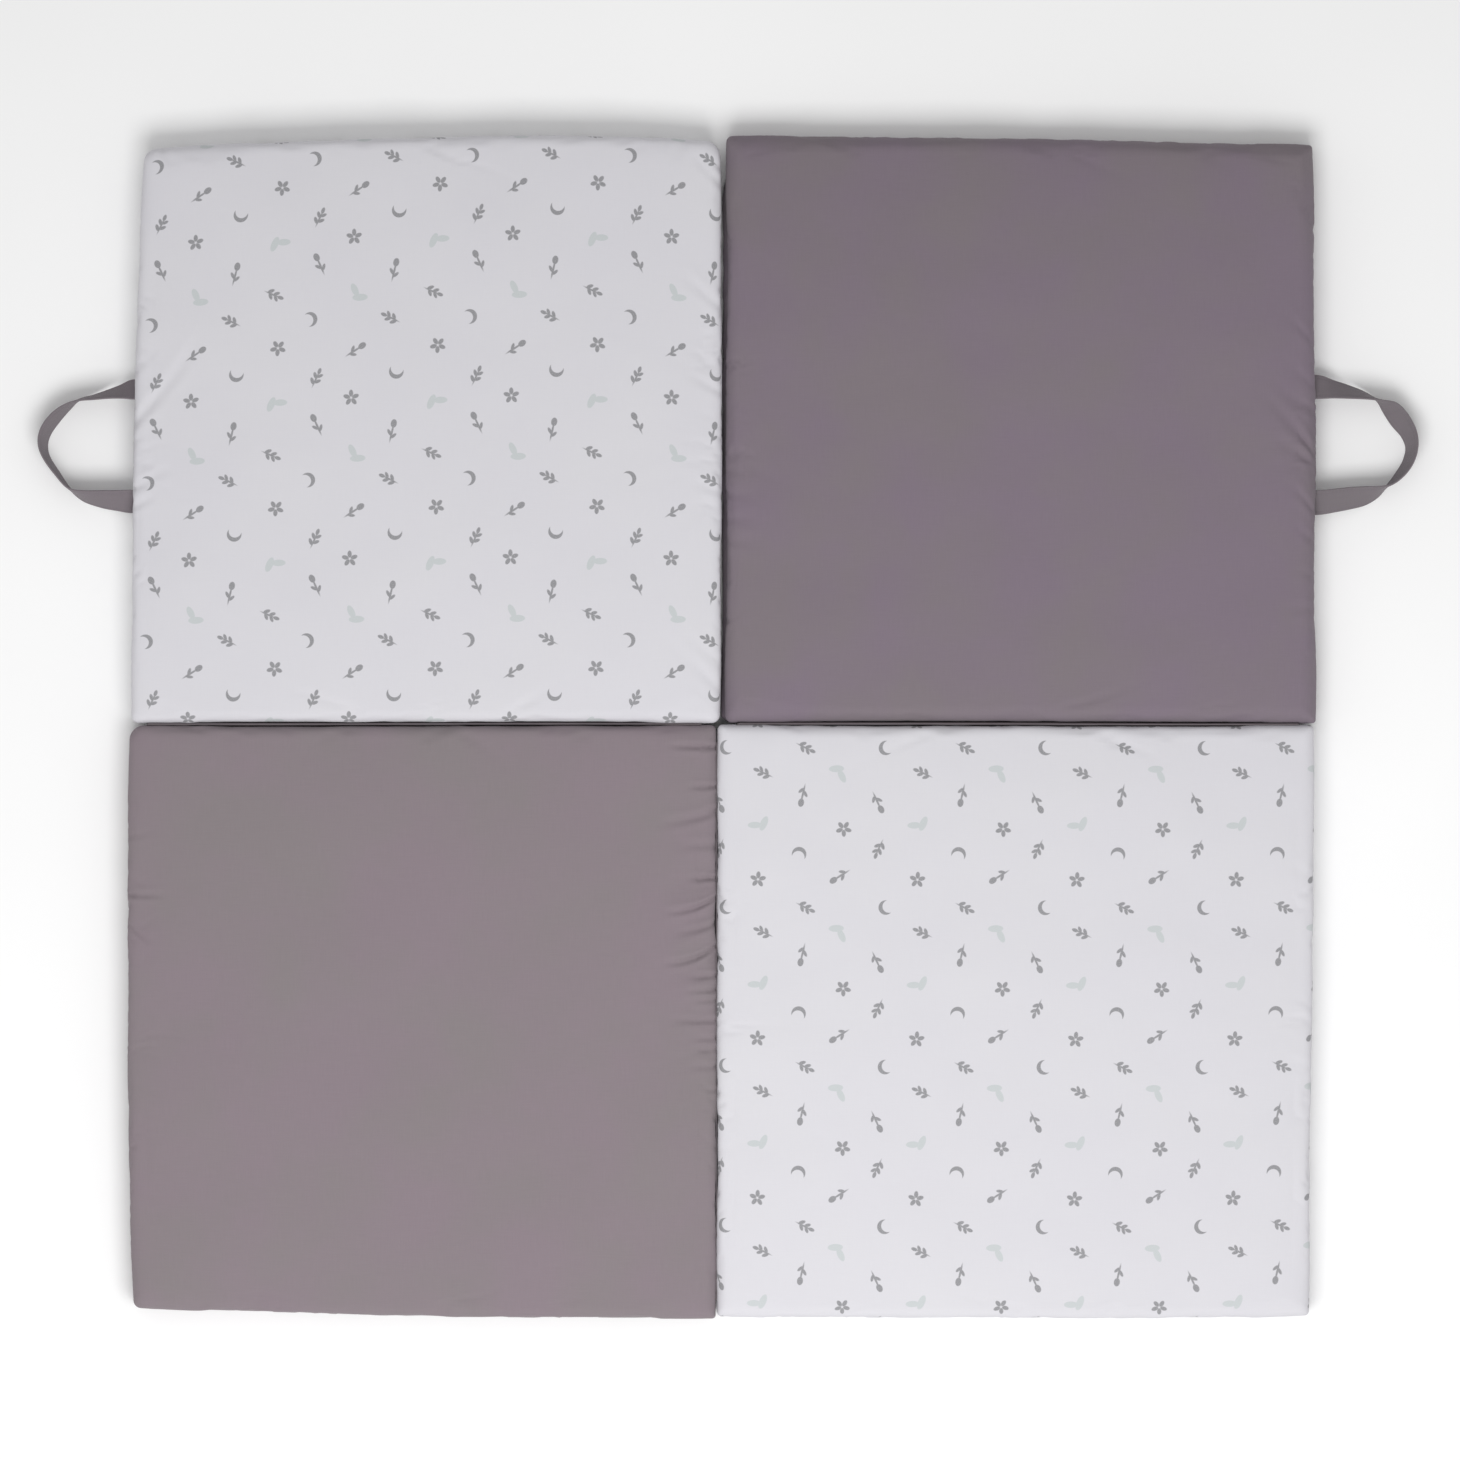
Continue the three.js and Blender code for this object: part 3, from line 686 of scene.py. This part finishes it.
# Handles. Each row is a point of the strap's middle line in millimetres, and its roll in
# degrees: 0 lies flat, 90 stands on its outer edge, and past 90 it leans outwards over that edge.
HANDLES = {
    "left": [
        (-498.4, 287.2, 17.5, 40), (-505, 286.8, 17.5, 40),
        (-514, 285.2, 17, 57), (-526, 283, 15.4, 70),
        (-538, 280.5, 13.2, 79), (-549.8, 278.2, 11.8, 86),
        (-560, 272.2, 11.3, 102), (-570.2, 263, 11.2, 112),
        (-578.2, 251.6, 11.2, 112), (-580.6, 240.6, 11.4, 107),
        (-577.6, 229.4, 11.6, 101), (-569, 216.5, 11.6, 98),
        (-558.4, 203.2, 11.8, 90), (-546.2, 196.8, 12.6, 68),
        (-531, 194, 14.6, 50), (-516, 192.6, 16.6, 38),
        (-507.6, 192, 17.5, 29), (-500.6, 191.8, 17.5, 28),
    ],
    "right": [
        (492.6, 190.8, 17.5, 20), (501, 191.1, 17.5, 20),
        (511, 192.4, 17, 26), (524, 194.4, 15.8, 32),
        (538, 196.6, 14.2, 44), (549.4, 200, 12.6, 66),
        (559.2, 205.8, 11.6, 92), (568.2, 214.4, 11.4, 105),
        (575.8, 225.6, 11.2, 110), (579, 238.2, 10.8, 114),
        (576.2, 250.4, 10.2, 125), (568.2, 262.2, 9.4, 136),
        (560.6, 271.4, 10, 125), (551.6, 277.6, 11.6, 93),
        (538, 282.4, 13.4, 72), (524, 285.2, 15.6, 57),
        (511, 287.3, 17, 43), (500, 289, 17.5, 22),
        (492.6, 289.3, 17.5, 22),
    ],
}
STRAP_RINGS = 300
STRAP_AROUND = 36
STITCH_INSET = 0.0024  # from the strap's edge to its row of stitches
STITCH_PITCH = 0.0030
STITCH_LENGTH = 0.0021
STITCH_THICKNESS = 0.00042
STITCH_DIP = 0.34  # how far the stitches draw the strap in, as a share of its thickness
STITCH_DIP_WIDTH = 0.055  # as a share of half the strap's width
EDGE_POWER = 0.75  # how round the strap's edges are
FACE_POWER = 0.28  # how flat its faces are
NOTCH = 0.02
NOTCH_START = 0.97


def strap_section():
    """A strap's flat section as shares of its width and thickness: a rounded outline, drawn in
    a little along the two rows of stitches, and with the fold's open edge as a notch."""
    around = np.linspace(0, 2 * np.pi, STRAP_AROUND, endpoint=False) + np.pi / STRAP_AROUND
    across = np.sign(np.cos(around)) * np.abs(np.cos(around)) ** EDGE_POWER
    through = np.sign(np.sin(around)) * np.abs(np.sin(around)) ** FACE_POWER
    row = 1 - 2 * STITCH_INSET / STRAP_WIDTH
    drawn_in = STITCH_DIP * np.exp(-(((np.abs(across) - row) / STITCH_DIP_WIDTH) ** 2))
    notch = NOTCH * (across < -NOTCH_START)
    return (across + notch) / 2, through * (1 - drawn_in) / 2


def strap_frames(rows, count):
    """Middle, way ahead, way across and way through the strap at even places along it. Lying
    flat, across points to the inside of the loop, and the roll lifts that side."""
    line, length = smooth_line(np.array(rows) * (MM, MM, MM, 1), np.linspace(0, 1, count), 3)
    middle, roll = line[:, :3], np.radians(line[:, 3])[:, None]
    ahead = np.gradient(middle, axis=0)
    ahead /= np.linalg.norm(ahead, axis=1, keepdims=True)
    level = np.cross([0.0, 0.0, 1.0], ahead)
    level /= np.linalg.norm(level, axis=1, keepdims=True)
    lifted = np.cross(ahead, level)
    across = level * np.cos(roll) + lifted * np.sin(roll)
    return middle, ahead, across, np.cross(ahead, across), length


def make_strap(name, rows, material):
    """The section carried along the strap: its middle plus the ways across and through, times
    the section's shares."""
    middle, _, across, through, length = strap_frames(rows, STRAP_RINGS)
    wide, thick = strap_section()
    points = (
        middle[:, None]
        + across[:, None] * wide[:, None] * STRAP_WIDTH
        + through[:, None] * thick[:, None] * STRAP_THICKNESS
    )
    faces = loft_faces(STRAP_RINGS, STRAP_AROUND)
    mesh = quad_mesh(name, points.reshape(-1, 3), faces)
    uv = np.meshgrid(np.linspace(0, length, STRAP_RINGS), wide * STRAP_WIDTH, indexing="ij")
    give_uv(mesh, np.dstack(uv).reshape(-1, 2)[faces])
    mesh.materials.append(material)
    return new_object(name, mesh), length


def stitches_at(middles, ahead, out):
    """One short rounded stitch at each middle: four rings of six points, long along the way
    ahead, and half sunk into the cloth that faces out."""
    side = np.cross(out, ahead)
    reach = np.array([-0.5, -0.3, 0.3, 0.5]) * STITCH_LENGTH
    girth = np.array([0.35, 1.0, 1.0, 0.35]) * STITCH_THICKNESS / 2
    turn = np.arange(6) * np.pi / 3 + np.pi / 6
    ring_side, ring_out = np.cos(turn), np.sin(turn)
    points = (
        middles[:, None, None]
        + ahead[:, None, None] * reach[:, None, None]
        + side[:, None, None] * (girth[:, None] * ring_side)[..., None]
        + out[:, None, None] * (girth[:, None] * ring_out)[..., None]
    )
    one = loft_faces(len(reach), len(turn))
    faces = one + (len(reach) * len(turn) * np.arange(len(middles)))[:, None, None]
    return points.reshape(-1, 3), faces.reshape(-1, 4)


def make_strap_stitches(name, rows, material):
    """Stitches along both edges of the strap, on both its faces."""
    length = strap_frames(rows, STRAP_RINGS)[-1]
    middle, ahead, across, through, _ = strap_frames(rows, int(length / STITCH_PITCH))
    row = STRAP_WIDTH / 2 - STITCH_INSET
    lift = STRAP_THICKNESS / 2 * (1 - STITCH_DIP)
    middles, outs = [], []
    for edge, face in ((-1, -1), (-1, 1), (1, -1), (1, 1)):
        middles.append(middle + across * edge * row + through * face * lift)
        outs.append(through * face)
    aheads = np.tile(ahead, (len(outs), 1))
    points, faces = stitches_at(np.concatenate(middles), aheads, np.concatenate(outs))
    mesh = quad_mesh(name, points, faces)
    mesh.materials.append(material)
    return new_object(name, mesh)


# Fold seams. Each is a strip of joined cloth between the side seams of two panels.
FOLD_SEAMS = {
    "left_fold_seam": (("front_left", "back"), ("back_left", "front")),
    "right_fold_seam": (("front_right", "back"), ("back_right", "front")),
    "front_fold_seam": (("front_right", "left"), ("front_left", "right")),
}
SEAM_TUCK = 0.0010
SEAM_END = 0.0140
SEAM_CLOTH = 0.0016
SEAM_RINGS = 180
SEAM_RISE = 0.0100
SEAM_COLUMNS = 7
SEAM_RIDGE_POWER = 0.7
SEAM_RIPPLE = 0.00012
SEAM_RIPPLE_TURNS = 150  # in radians, over the seam's length


def make_fold_seam(name, sides, material):
    """A strip from seam to seam, thin. The two joined allowances stand up in the fold: the
    strip's height rises by a sine across, and rises and falls a little along."""
    edges = []
    for panel_name, side in sides:
        panel = PANELS[panel_name]
        margin = SEAM_END / span(panel, side)
        t = np.linspace(margin, 1 - margin, SEAM_RINGS)[:, None]
        edges.append(side_point(panel, side, t) - SEAM_TUCK * np.array(SIDE_NAMED[side].out))
    across = np.linspace(0, 1, SEAM_COLUMNS)
    arch = np.sin(np.pi * across)
    turns = np.linspace(0, SEAM_RIPPLE_TURNS, SEAM_RINGS)[:, None]
    rise = SEAM_RISE * arch**SEAM_RIDGE_POWER + SEAM_RIPPLE * np.sin(turns) * arch
    plan = edges[0][:, None] * (1 - across)[:, None] + edges[1][:, None] * across[:, None]
    low = np.dstack([plan, SEAM_HEIGHT - SEAM_CLOTH / 2 + rise])
    high = np.dstack([plan, SEAM_HEIGHT + SEAM_CLOTH / 2 + rise])
    points = np.concatenate([low, high[:, ::-1]], axis=1).reshape(-1, 3)
    faces = loft_faces(SEAM_RINGS, 2 * SEAM_COLUMNS)
    mesh = quad_mesh(name, points, faces)
    give_uv(mesh, points[:, :2][faces])
    mesh.materials.append(material)
    return new_object(name, mesh)


# Materials. slubs: how much the threads' tone varies. height and strength: of the relief.
Finish = namedtuple("Finish", "slubs height strength roughness sheen")
PLAIN_FINISH = Finish(0.045, 0.00018, 0.55, 0.88, 0.12)
PRINTED_FINISH = Finish(0.018, 0.00018, 0.45, 0.90, 0.08)
STRAP_FINISH = Finish(0.06, 0.00022, 0.70, 0.86, 0.12)
SEAM_FINISH = Finish(0.05, 0.00018, 0.50, 0.93, 0.05)
THREAD_FINISH = Finish(0.15, 0.00010, 0.60, 0.60, 0.10)
CLOTH_SHEEN_ROUGHNESS = 0.45
CLOTH_SPECULAR = 0.25
THREAD_PITCH = 0.0005
PLAIN_TONES = ((0.240, 0.196, 0.220), (0.230, 0.200, 0.210))
# The back plain panel's tones: the plain cotton darkened as painted shade, for the light that falls
# off towards the back of the mat.
BACK_TONES_WITH_PAINTED_SHADE = ((0.203, 0.163, 0.202), (0.202, 0.171, 0.190))
WHITE_TONES = ((0.640, 0.630, 0.667), (0.647, 0.638, 0.669))
STRAP_TONES = ((0.198, 0.172, 0.189), (0.187, 0.165, 0.179))
SEAM_TONES = ((0.17, 0.145, 0.155), (0.155, 0.135, 0.145))
INK = (0.235, 0.235, 0.245)
PALE_INK = (0.515, 0.548, 0.552)
THREAD = (0.205, 0.176, 0.194)
BACK_PAINTED_SHADE_FADE = (0.30, 0.495, 1.0, 0.95)  # painted shade: between these two y, the tone's factor changes so


class Nodes:
    """A material's node tree, with short calls for the nodes that the cloths use."""

    def __init__(self, name):
        self.material = bpy.data.materials.new(name)
        self.material.use_nodes = True
        self.tree = self.material.node_tree
        self.shader = self.tree.nodes["Principled BSDF"]

    def add(self, kind, inputs=(), **settings):
        node = self.tree.nodes.new("ShaderNode" + kind)
        for key, value in settings.items():
            setattr(node, key, value)
        for socket, value in dict(inputs).items():
            self.put(node.inputs[socket], value)
        return node

    def put(self, socket, value):
        if isinstance(value, bpy.types.NodeSocket):
            self.tree.links.new(value, socket)
        else:
            socket.default_value = value

    def math(self, operation, *values):
        return self.add("Math", enumerate(values), operation=operation).outputs[0]

    def times(self, first, second):
        return self.math("MULTIPLY", first, second)

    def scaled(self, vector, scale, offset=(0, 0, 0)):
        inputs = {"Vector": vector, "Scale": scale, "Location": offset}
        return self.add("Mapping", inputs).outputs[0]

    def noise(self, vector, scale, detail=2.0, roughness=0.5):
        inputs = {"Vector": vector, "Scale": scale, "Detail": detail, "Roughness": roughness}
        return self.add("TexNoise", inputs).outputs["Fac"]

    def ranged(self, value, low, high, to_low=0.0, to_high=1.0):
        inputs = enumerate((value, low, high, to_low, to_high))
        return self.add("MapRange", inputs, clamp=True).outputs[0]

    def mix(self, share, first, second, blend="MIX"):
        inputs = {0: share, 6: first, 7: second}
        return self.add("Mix", inputs, data_type="RGBA", blend_type=blend).outputs[2]

    def grey(self, tone):
        return self.add("CombineColor", {0: tone, 1: tone, 2: tone}).outputs[0]

    def shaded(self, colour, factor):
        """The colour times a grey factor."""
        return self.mix(1.0, colour, self.grey(factor), "MULTIPLY")

    def object_place(self):
        return self.add("TexCoord").outputs["Object"]

    def set_shader(self, values):
        for name, value in values.items():
            self.put(self.shader.inputs[name], value)

    def finish(self, colour, height, finish):
        relief = {"Height": height, "Distance": finish.height, "Strength": finish.strength}
        self.set_shader({
            "Normal": self.add("Bump", relief).outputs[0],
            "Base Color": colour,
            "Roughness": finish.roughness,
            "Sheen Weight": finish.sheen,
            "Sheen Roughness": CLOTH_SHEEN_ROUGHNESS,
            "Specular IOR Level": CLOTH_SPECULAR,
        })
        return self.material


def woven(nodes, uv, pitch):
    """Height of a plain weave, 0 to 1. Each thread is a ridge, the absolute cosine across it,
    and warp and weft rise over each other in turn, by the product of two sines."""
    parts = nodes.add("SeparateXYZ", {0: uv})
    turns = [nodes.times(parts.outputs[axis], np.pi / pitch) for axis in (0, 1)]
    ridges = [nodes.math("ABSOLUTE", nodes.math("COSINE", turn)) for turn in turns]
    sines = [nodes.math("SINE", nodes.math("ADD", turn, np.pi / 2)) for turn in turns]
    swap = nodes.times(sines[0], sines[1])
    warp = nodes.times(ridges[0], nodes.math("MULTIPLY_ADD", swap, 0.4, 0.6))
    weft = nodes.times(ridges[1], nodes.math("MULTIPLY_ADD", swap, -0.4, 0.6))
    return nodes.math("MAXIMUM", warp, weft)


def slubs(nodes, uv):
    """Thicker and thinner stretches of thread, 0 to 1: fine noise drawn out both ways."""
    warp = nodes.noise(nodes.scaled(uv, (1500, 55, 1)), 1.0, 2.0, 0.6)
    weft = nodes.noise(nodes.scaled(uv, (48, 1500, 1), (7.3, 2.1, 0)), 1.0, 2.0, 0.6)
    return nodes.times(nodes.math("ADD", warp, weft), 0.5)


def cotton(name, tones, finish, fade=None):
    """Woven cotton. The colour drifts softly between two tones, its threads vary in thickness,
    and fade gives a factor that changes from front to back over the cloth: painted shade,
    darker towards the back, where less light falls."""
    nodes = Nodes(name)
    uv = nodes.add("UVMap", uv_map="cloth").outputs[0]
    place = nodes.object_place()
    drift = nodes.noise(place, 11.0, 3.0, 0.55)
    base, other = tones
    colour = nodes.mix(nodes.ranged(drift, 0.35, 0.65), (*base, 1), (*other, 1))
    thread = slubs(nodes, uv)
    factor = nodes.ranged(thread, 0.25, 0.75, 1 - finish.slubs, 1 + finish.slubs)
    # fade paints shade: the tone's factor changes along y, darker towards the back.
    if fade:
        y = nodes.add("SeparateXYZ", {0: place}).outputs[1]
        factor = nodes.times(factor, nodes.ranged(y, *fade))
    height = nodes.math("MULTIPLY_ADD", thread, 0.8, woven(nodes, uv, THREAD_PITCH))
    return nodes, uv, nodes.shaded(colour, factor), height


# The print: a repeat of four columns by three rows of small tossed figures, the odd columns
# dropped by half a row. Each figure has its kind, its turn in degrees, and its shift in metres
# from the middle of the cell.
CELL = (0.0335, 0.0447)
COLUMNS, ROWS = 4, 3
CHART = [
    ("sprig", 62, 0.002, -0.003), ("crescent", 200, -0.004, 0.002),
    ("bud", 118, 0.003, 0.003), ("blossom", 20, -0.002, 0.003),
    ("bud", 35, 0.001, -0.002), ("pale_leaf", 140, 0.003, 0.001),
    ("crescent", 75, 0.002, 0.002), ("sprig", 150, -0.003, 0.002),
    ("bud", 80, -0.001, -0.003), ("pale_leaf", 25, 0.002, -0.002),
    ("blossom", 50, 0.003, 0.001), ("sprig", -28, -0.002, 0.001),
]
# Each figure is a few leaf-shaped strokes, filled ellipses with their middle, turn, half length
# and half width in millimetres. A bite is an ellipse taken away.
FIGURES = {
    "sprig": [
        (-0.5, 0, 3, 6.8, 0.75), (-3.1, 2, 46, 3, 1.45),
        (-1.5, -2.1, -42, 2.9, 1.4), (2.1, 2.1, 43, 2.8, 1.4),
        (3.4, -1.8, -38, 2.7, 1.3), (6.7, 0.6, 8, 2.7, 1.5),
    ],
    "crescent": [
        (0, 0, 0, 6.1, 6.1),
    ],
    "bud": [
        (-1.4, 0, -3, 7.4, 0.85), (6.6, -0.3, 0, 3.5, 2.5),
        (-1.4, 1.9, 38, 3.1, 1.3), (-3.6, -1.9, -40, 2.9, 1.25),
    ],
    "blossom": [
        (3.8, 0, 0, 2.9, 1.75), (1.2, 3.6, 72, 2.9, 1.75),
        (-3.1, 2.2, 144, 2.9, 1.75), (-3.1, -2.2, 216, 2.9, 1.75),
        (1.2, -3.6, 288, 2.9, 1.75),
    ],
    "pale_leaf": [
        (-3.2, 2.2, 42, 6.4, 2.9), (4.2, 0.3, -24, 5.8, 2.7),
    ],
}
BITES = {"crescent": (3, 0, 0, 5.6, 5.4)}
EDGE_SOFTNESS = 0.22  # in millimetres
TURNED_PRINT_SHIFT = (0.021, 0.013, 0)
WORN_INK = 0.62  # the share of ink left where the print is worn most


def stroke_mask(nodes, place, stroke):
    """1 inside a stroke: in the ellipse's own turned and scaled frame the distance from its
    middle is under 1."""
    x, y, turn, long, wide = stroke
    inputs = {
        "Vector": place,
        "Location": (x * MM, y * MM, 0),
        "Rotation": (0, 0, np.radians(turn)),
        "Scale": (long * MM, wide * MM, 1),
    }
    local = nodes.add("Mapping", inputs, vector_type="TEXTURE").outputs[0]
    far = nodes.add("VectorMath", {0: local}, operation="LENGTH").outputs["Value"]
    soft = EDGE_SOFTNESS / min(long, wide)
    return nodes.ranged(far, 1 + soft, 1 - soft)


def figure_mask(nodes, place, kind):
    """The strokes' masks joined by their greatest, less the part that is bitten out."""
    mask = 0.0
    for stroke in FIGURES[kind]:
        mask = nodes.math("MAXIMUM", mask, stroke_mask(nodes, place, stroke))
    if kind in BITES:
        bitten = stroke_mask(nodes, place, BITES[kind])
        mask = nodes.times(mask, nodes.math("SUBTRACT", 1.0, bitten))
    return mask


def tossed_print(nodes, uv):
    """Masks of the dark and the pale figures. The cell's number looks up its figure, turn and
    shift in the chart, and each kind of figure is drawn once in the turned cell."""
    parts = nodes.add("SeparateXYZ", {0: uv})
    across = nodes.math("DIVIDE", parts.outputs[0], CELL[0])
    column = nodes.math("FLOOR", across)
    drop = nodes.times(nodes.math("FLOORED_MODULO", column, 2.0), 0.5)
    along = nodes.math("ADD", nodes.math("DIVIDE", parts.outputs[1], CELL[1]), drop)
    row = nodes.math("FLOOR", along)
    column_number = nodes.math("FLOORED_MODULO", column, COLUMNS)
    row_number = nodes.math("FLOORED_MODULO", row, ROWS)
    number = nodes.math("MULTIPLY_ADD", column_number, ROWS, row_number)
    look = nodes.math("DIVIDE", nodes.math("ADD", number, 0.5), len(CHART))
    chart = nodes.add("ValToRGB", {0: look})
    ramp = chart.color_ramp
    ramp.interpolation = "CONSTANT"
    kinds = list(FIGURES)
    for i, (kind, turn, shift_x, shift_y) in enumerate(CHART):
        stop = ramp.elements[i] if i < 2 else ramp.elements.new(i / len(CHART))
        stop.position = i / len(CHART)
        middle = (shift_x / CELL[0] + 0.5, shift_y / CELL[1] + 0.5)
        stop.color = (*middle, (turn % 360) / 360, kinds.index(kind) / 10)
    shift = nodes.add("SeparateColor", {0: chart.outputs[0]})
    local = []
    for place, cell, size, channel in ((across, column, CELL[0], 0), (along, row, CELL[1], 1)):
        middle = nodes.math("SUBTRACT", nodes.math("SUBTRACT", place, cell), shift.outputs[channel])
        local.append(nodes.times(middle, size))
    centred = nodes.add("CombineXYZ", enumerate(local)).outputs[0]
    inputs = {"Vector": centred, "Angle": nodes.times(shift.outputs[2], -2 * np.pi)}
    turned = nodes.add("VectorRotate", inputs, rotation_type="Z_AXIS").outputs[0]
    masks = {"dark": 0.0, "pale": 0.0}
    for i, kind in enumerate(kinds):
        chosen = nodes.math("COMPARE", chart.outputs[1], i / 10, 0.03)
        mask = nodes.times(chosen, figure_mask(nodes, turned, kind))
        tone = "pale" if kind.startswith("pale") else "dark"
        masks[tone] = nodes.math("MAXIMUM", masks[tone], mask)
    return masks["dark"], masks["pale"]


def plain_cotton(name, tones, finish, fade=None):
    nodes, _, colour, height = cotton(name, tones, finish, fade)
    return nodes.finish(colour, height, finish)


def printed_cotton(name, turned):
    """White cotton with the print, whose ink is a little worn by fine noise."""
    nodes, uv, colour, height = cotton(name, WHITE_TONES, PRINTED_FINISH)
    if turned:
        uv = nodes.scaled(uv, (-1, -1, 1), TURNED_PRINT_SHIFT)
    dark, pale = tossed_print(nodes, uv)
    worn = nodes.ranged(nodes.noise(uv, 1900.0, 1.0), 0.30, 0.62, WORN_INK, 1.0)
    colour = nodes.mix(nodes.times(pale, worn), colour, (*PALE_INK, 1))
    colour = nodes.mix(nodes.times(dark, worn), colour, (*INK, 1))
    return nodes.finish(colour, height, PRINTED_FINISH)


def sewing_thread(name):
    """Twisted thread: fine bands of light and shade."""
    nodes = Nodes(name)
    twist = nodes.noise(nodes.scaled(nodes.object_place(), (2600, 2600, 2600)), 1.0, 1.0)
    vary = THREAD_FINISH.slubs
    colour = nodes.shaded((*THREAD, 1), nodes.ranged(twist, 0.3, 0.7, 1 - vary, 1 + vary))
    return nodes.finish(colour, twist, THREAD_FINISH)


# Everything made and placed
FIRST_SEED = 11
materials = {
    "back_left": printed_cotton("printed cotton, upright", False),
    "front_right": printed_cotton("printed cotton, turned", True),
    # The back plain panel carries painted shade: darker tones, and a fade that darkens it towards
    # the back.
    "back_right": plain_cotton("plain cotton, back, with painted shade", BACK_TONES_WITH_PAINTED_SHADE, PLAIN_FINISH, BACK_PAINTED_SHADE_FADE),
    "front_left": plain_cotton("plain cotton, front", PLAIN_TONES, PLAIN_FINISH),
}
for seed, (name, panel) in enumerate(PANELS.items(), FIRST_SEED):
    piece = make_panel(f"{name}_cover", panel, seed, materials[name])
    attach(piece, "root")
    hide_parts(f"{name}_panel")

strap_material = plain_cotton("strap cotton", STRAP_TONES, STRAP_FINISH)
thread_material = sewing_thread("sewing thread")
for name, rows in HANDLES.items():
    strap, length = make_strap(f"{name}_strap", rows, strap_material)
    stitches = make_strap_stitches(f"{name}_strap_stitches", rows, thread_material)
    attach(strap, "root")
    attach(stitches, "root")
    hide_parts(f"{name}_handle")

seam_material = plain_cotton("seam cotton", SEAM_TONES, SEAM_FINISH)
for name, sides in FOLD_SEAMS.items():
    strip = make_fold_seam(f"{name}_strip", sides, seam_material)
    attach(strip, "root")
    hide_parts(name)


# Floor, light and camera
FRAME_CENTRE = (0.0014, -0.0014)
FRAME_WIDTH = 1.2331
CAMERA_HEIGHT = 8.0
LIGHT_PLACE = (0, -1.1, 2.1)
LIGHT_SIZE = (1.8, 1.2)
LIGHT_WATTS = 37
WORLD_STRENGTH = 0.59
FLOOR_HALF = 12.0
FLOOR_TONES = (0.90, 0.92)
FLOOR_ROUGHNESS = 0.95
FLOOR_SPECULAR = 0.1


def make_floor():
    corners = np.array([[-1, -1, 0], [1, -1, 0], [1, 1, 0], [-1, 1, 0]]) * FLOOR_HALF
    floor = new_object("floor", quad_mesh("floor", corners, np.array([[0, 1, 2, 3]])))
    nodes = Nodes("pale floor")
    tone = nodes.ranged(nodes.noise(nodes.object_place(), 3.0, 2.0), 0.3, 0.7, *FLOOR_TONES)
    nodes.set_shader({
        "Base Color": nodes.grey(tone),
        "Roughness": FLOOR_ROUGHNESS,
        "Specular IOR Level": FLOOR_SPECULAR,
    })
    floor.data.materials.append(nodes.material)


def make_light():
    """One rectangle of soft light, turned towards the middle of the mat."""
    data = bpy.data.lights.new("overhead light", "AREA")
    data.shape = "RECTANGLE"
    data.size, data.size_y = LIGHT_SIZE
    data.energy = LIGHT_WATTS
    light = new_object("overhead light", data)
    light.location = LIGHT_PLACE
    light.rotation_mode = "QUATERNION"
    light.rotation_quaternion = (Vector() - Vector(LIGHT_PLACE)).to_track_quat("-Z", "Y")
    light.visible_camera = False


def make_world():
    world = bpy.data.worlds.new("pale room")
    world.use_nodes = True
    background = world.node_tree.nodes["Background"].inputs
    background[0].default_value = (1, 1, 1, 1)
    background[1].default_value = WORLD_STRENGTH
    bpy.context.scene.world = world


def make_camera():
    data = bpy.data.cameras.new("camera")
    data.sensor_width = 36.0
    data.lens = data.sensor_width * (CAMERA_HEIGHT - THICKNESS) / FRAME_WIDTH
    data.clip_end = 100
    camera = new_object("camera", data)
    camera.location = (*FRAME_CENTRE, CAMERA_HEIGHT)
    bpy.context.scene.camera = camera


make_floor()
make_light()
make_world()
make_camera()
bpy.context.scene.view_settings.view_transform = "Standard"
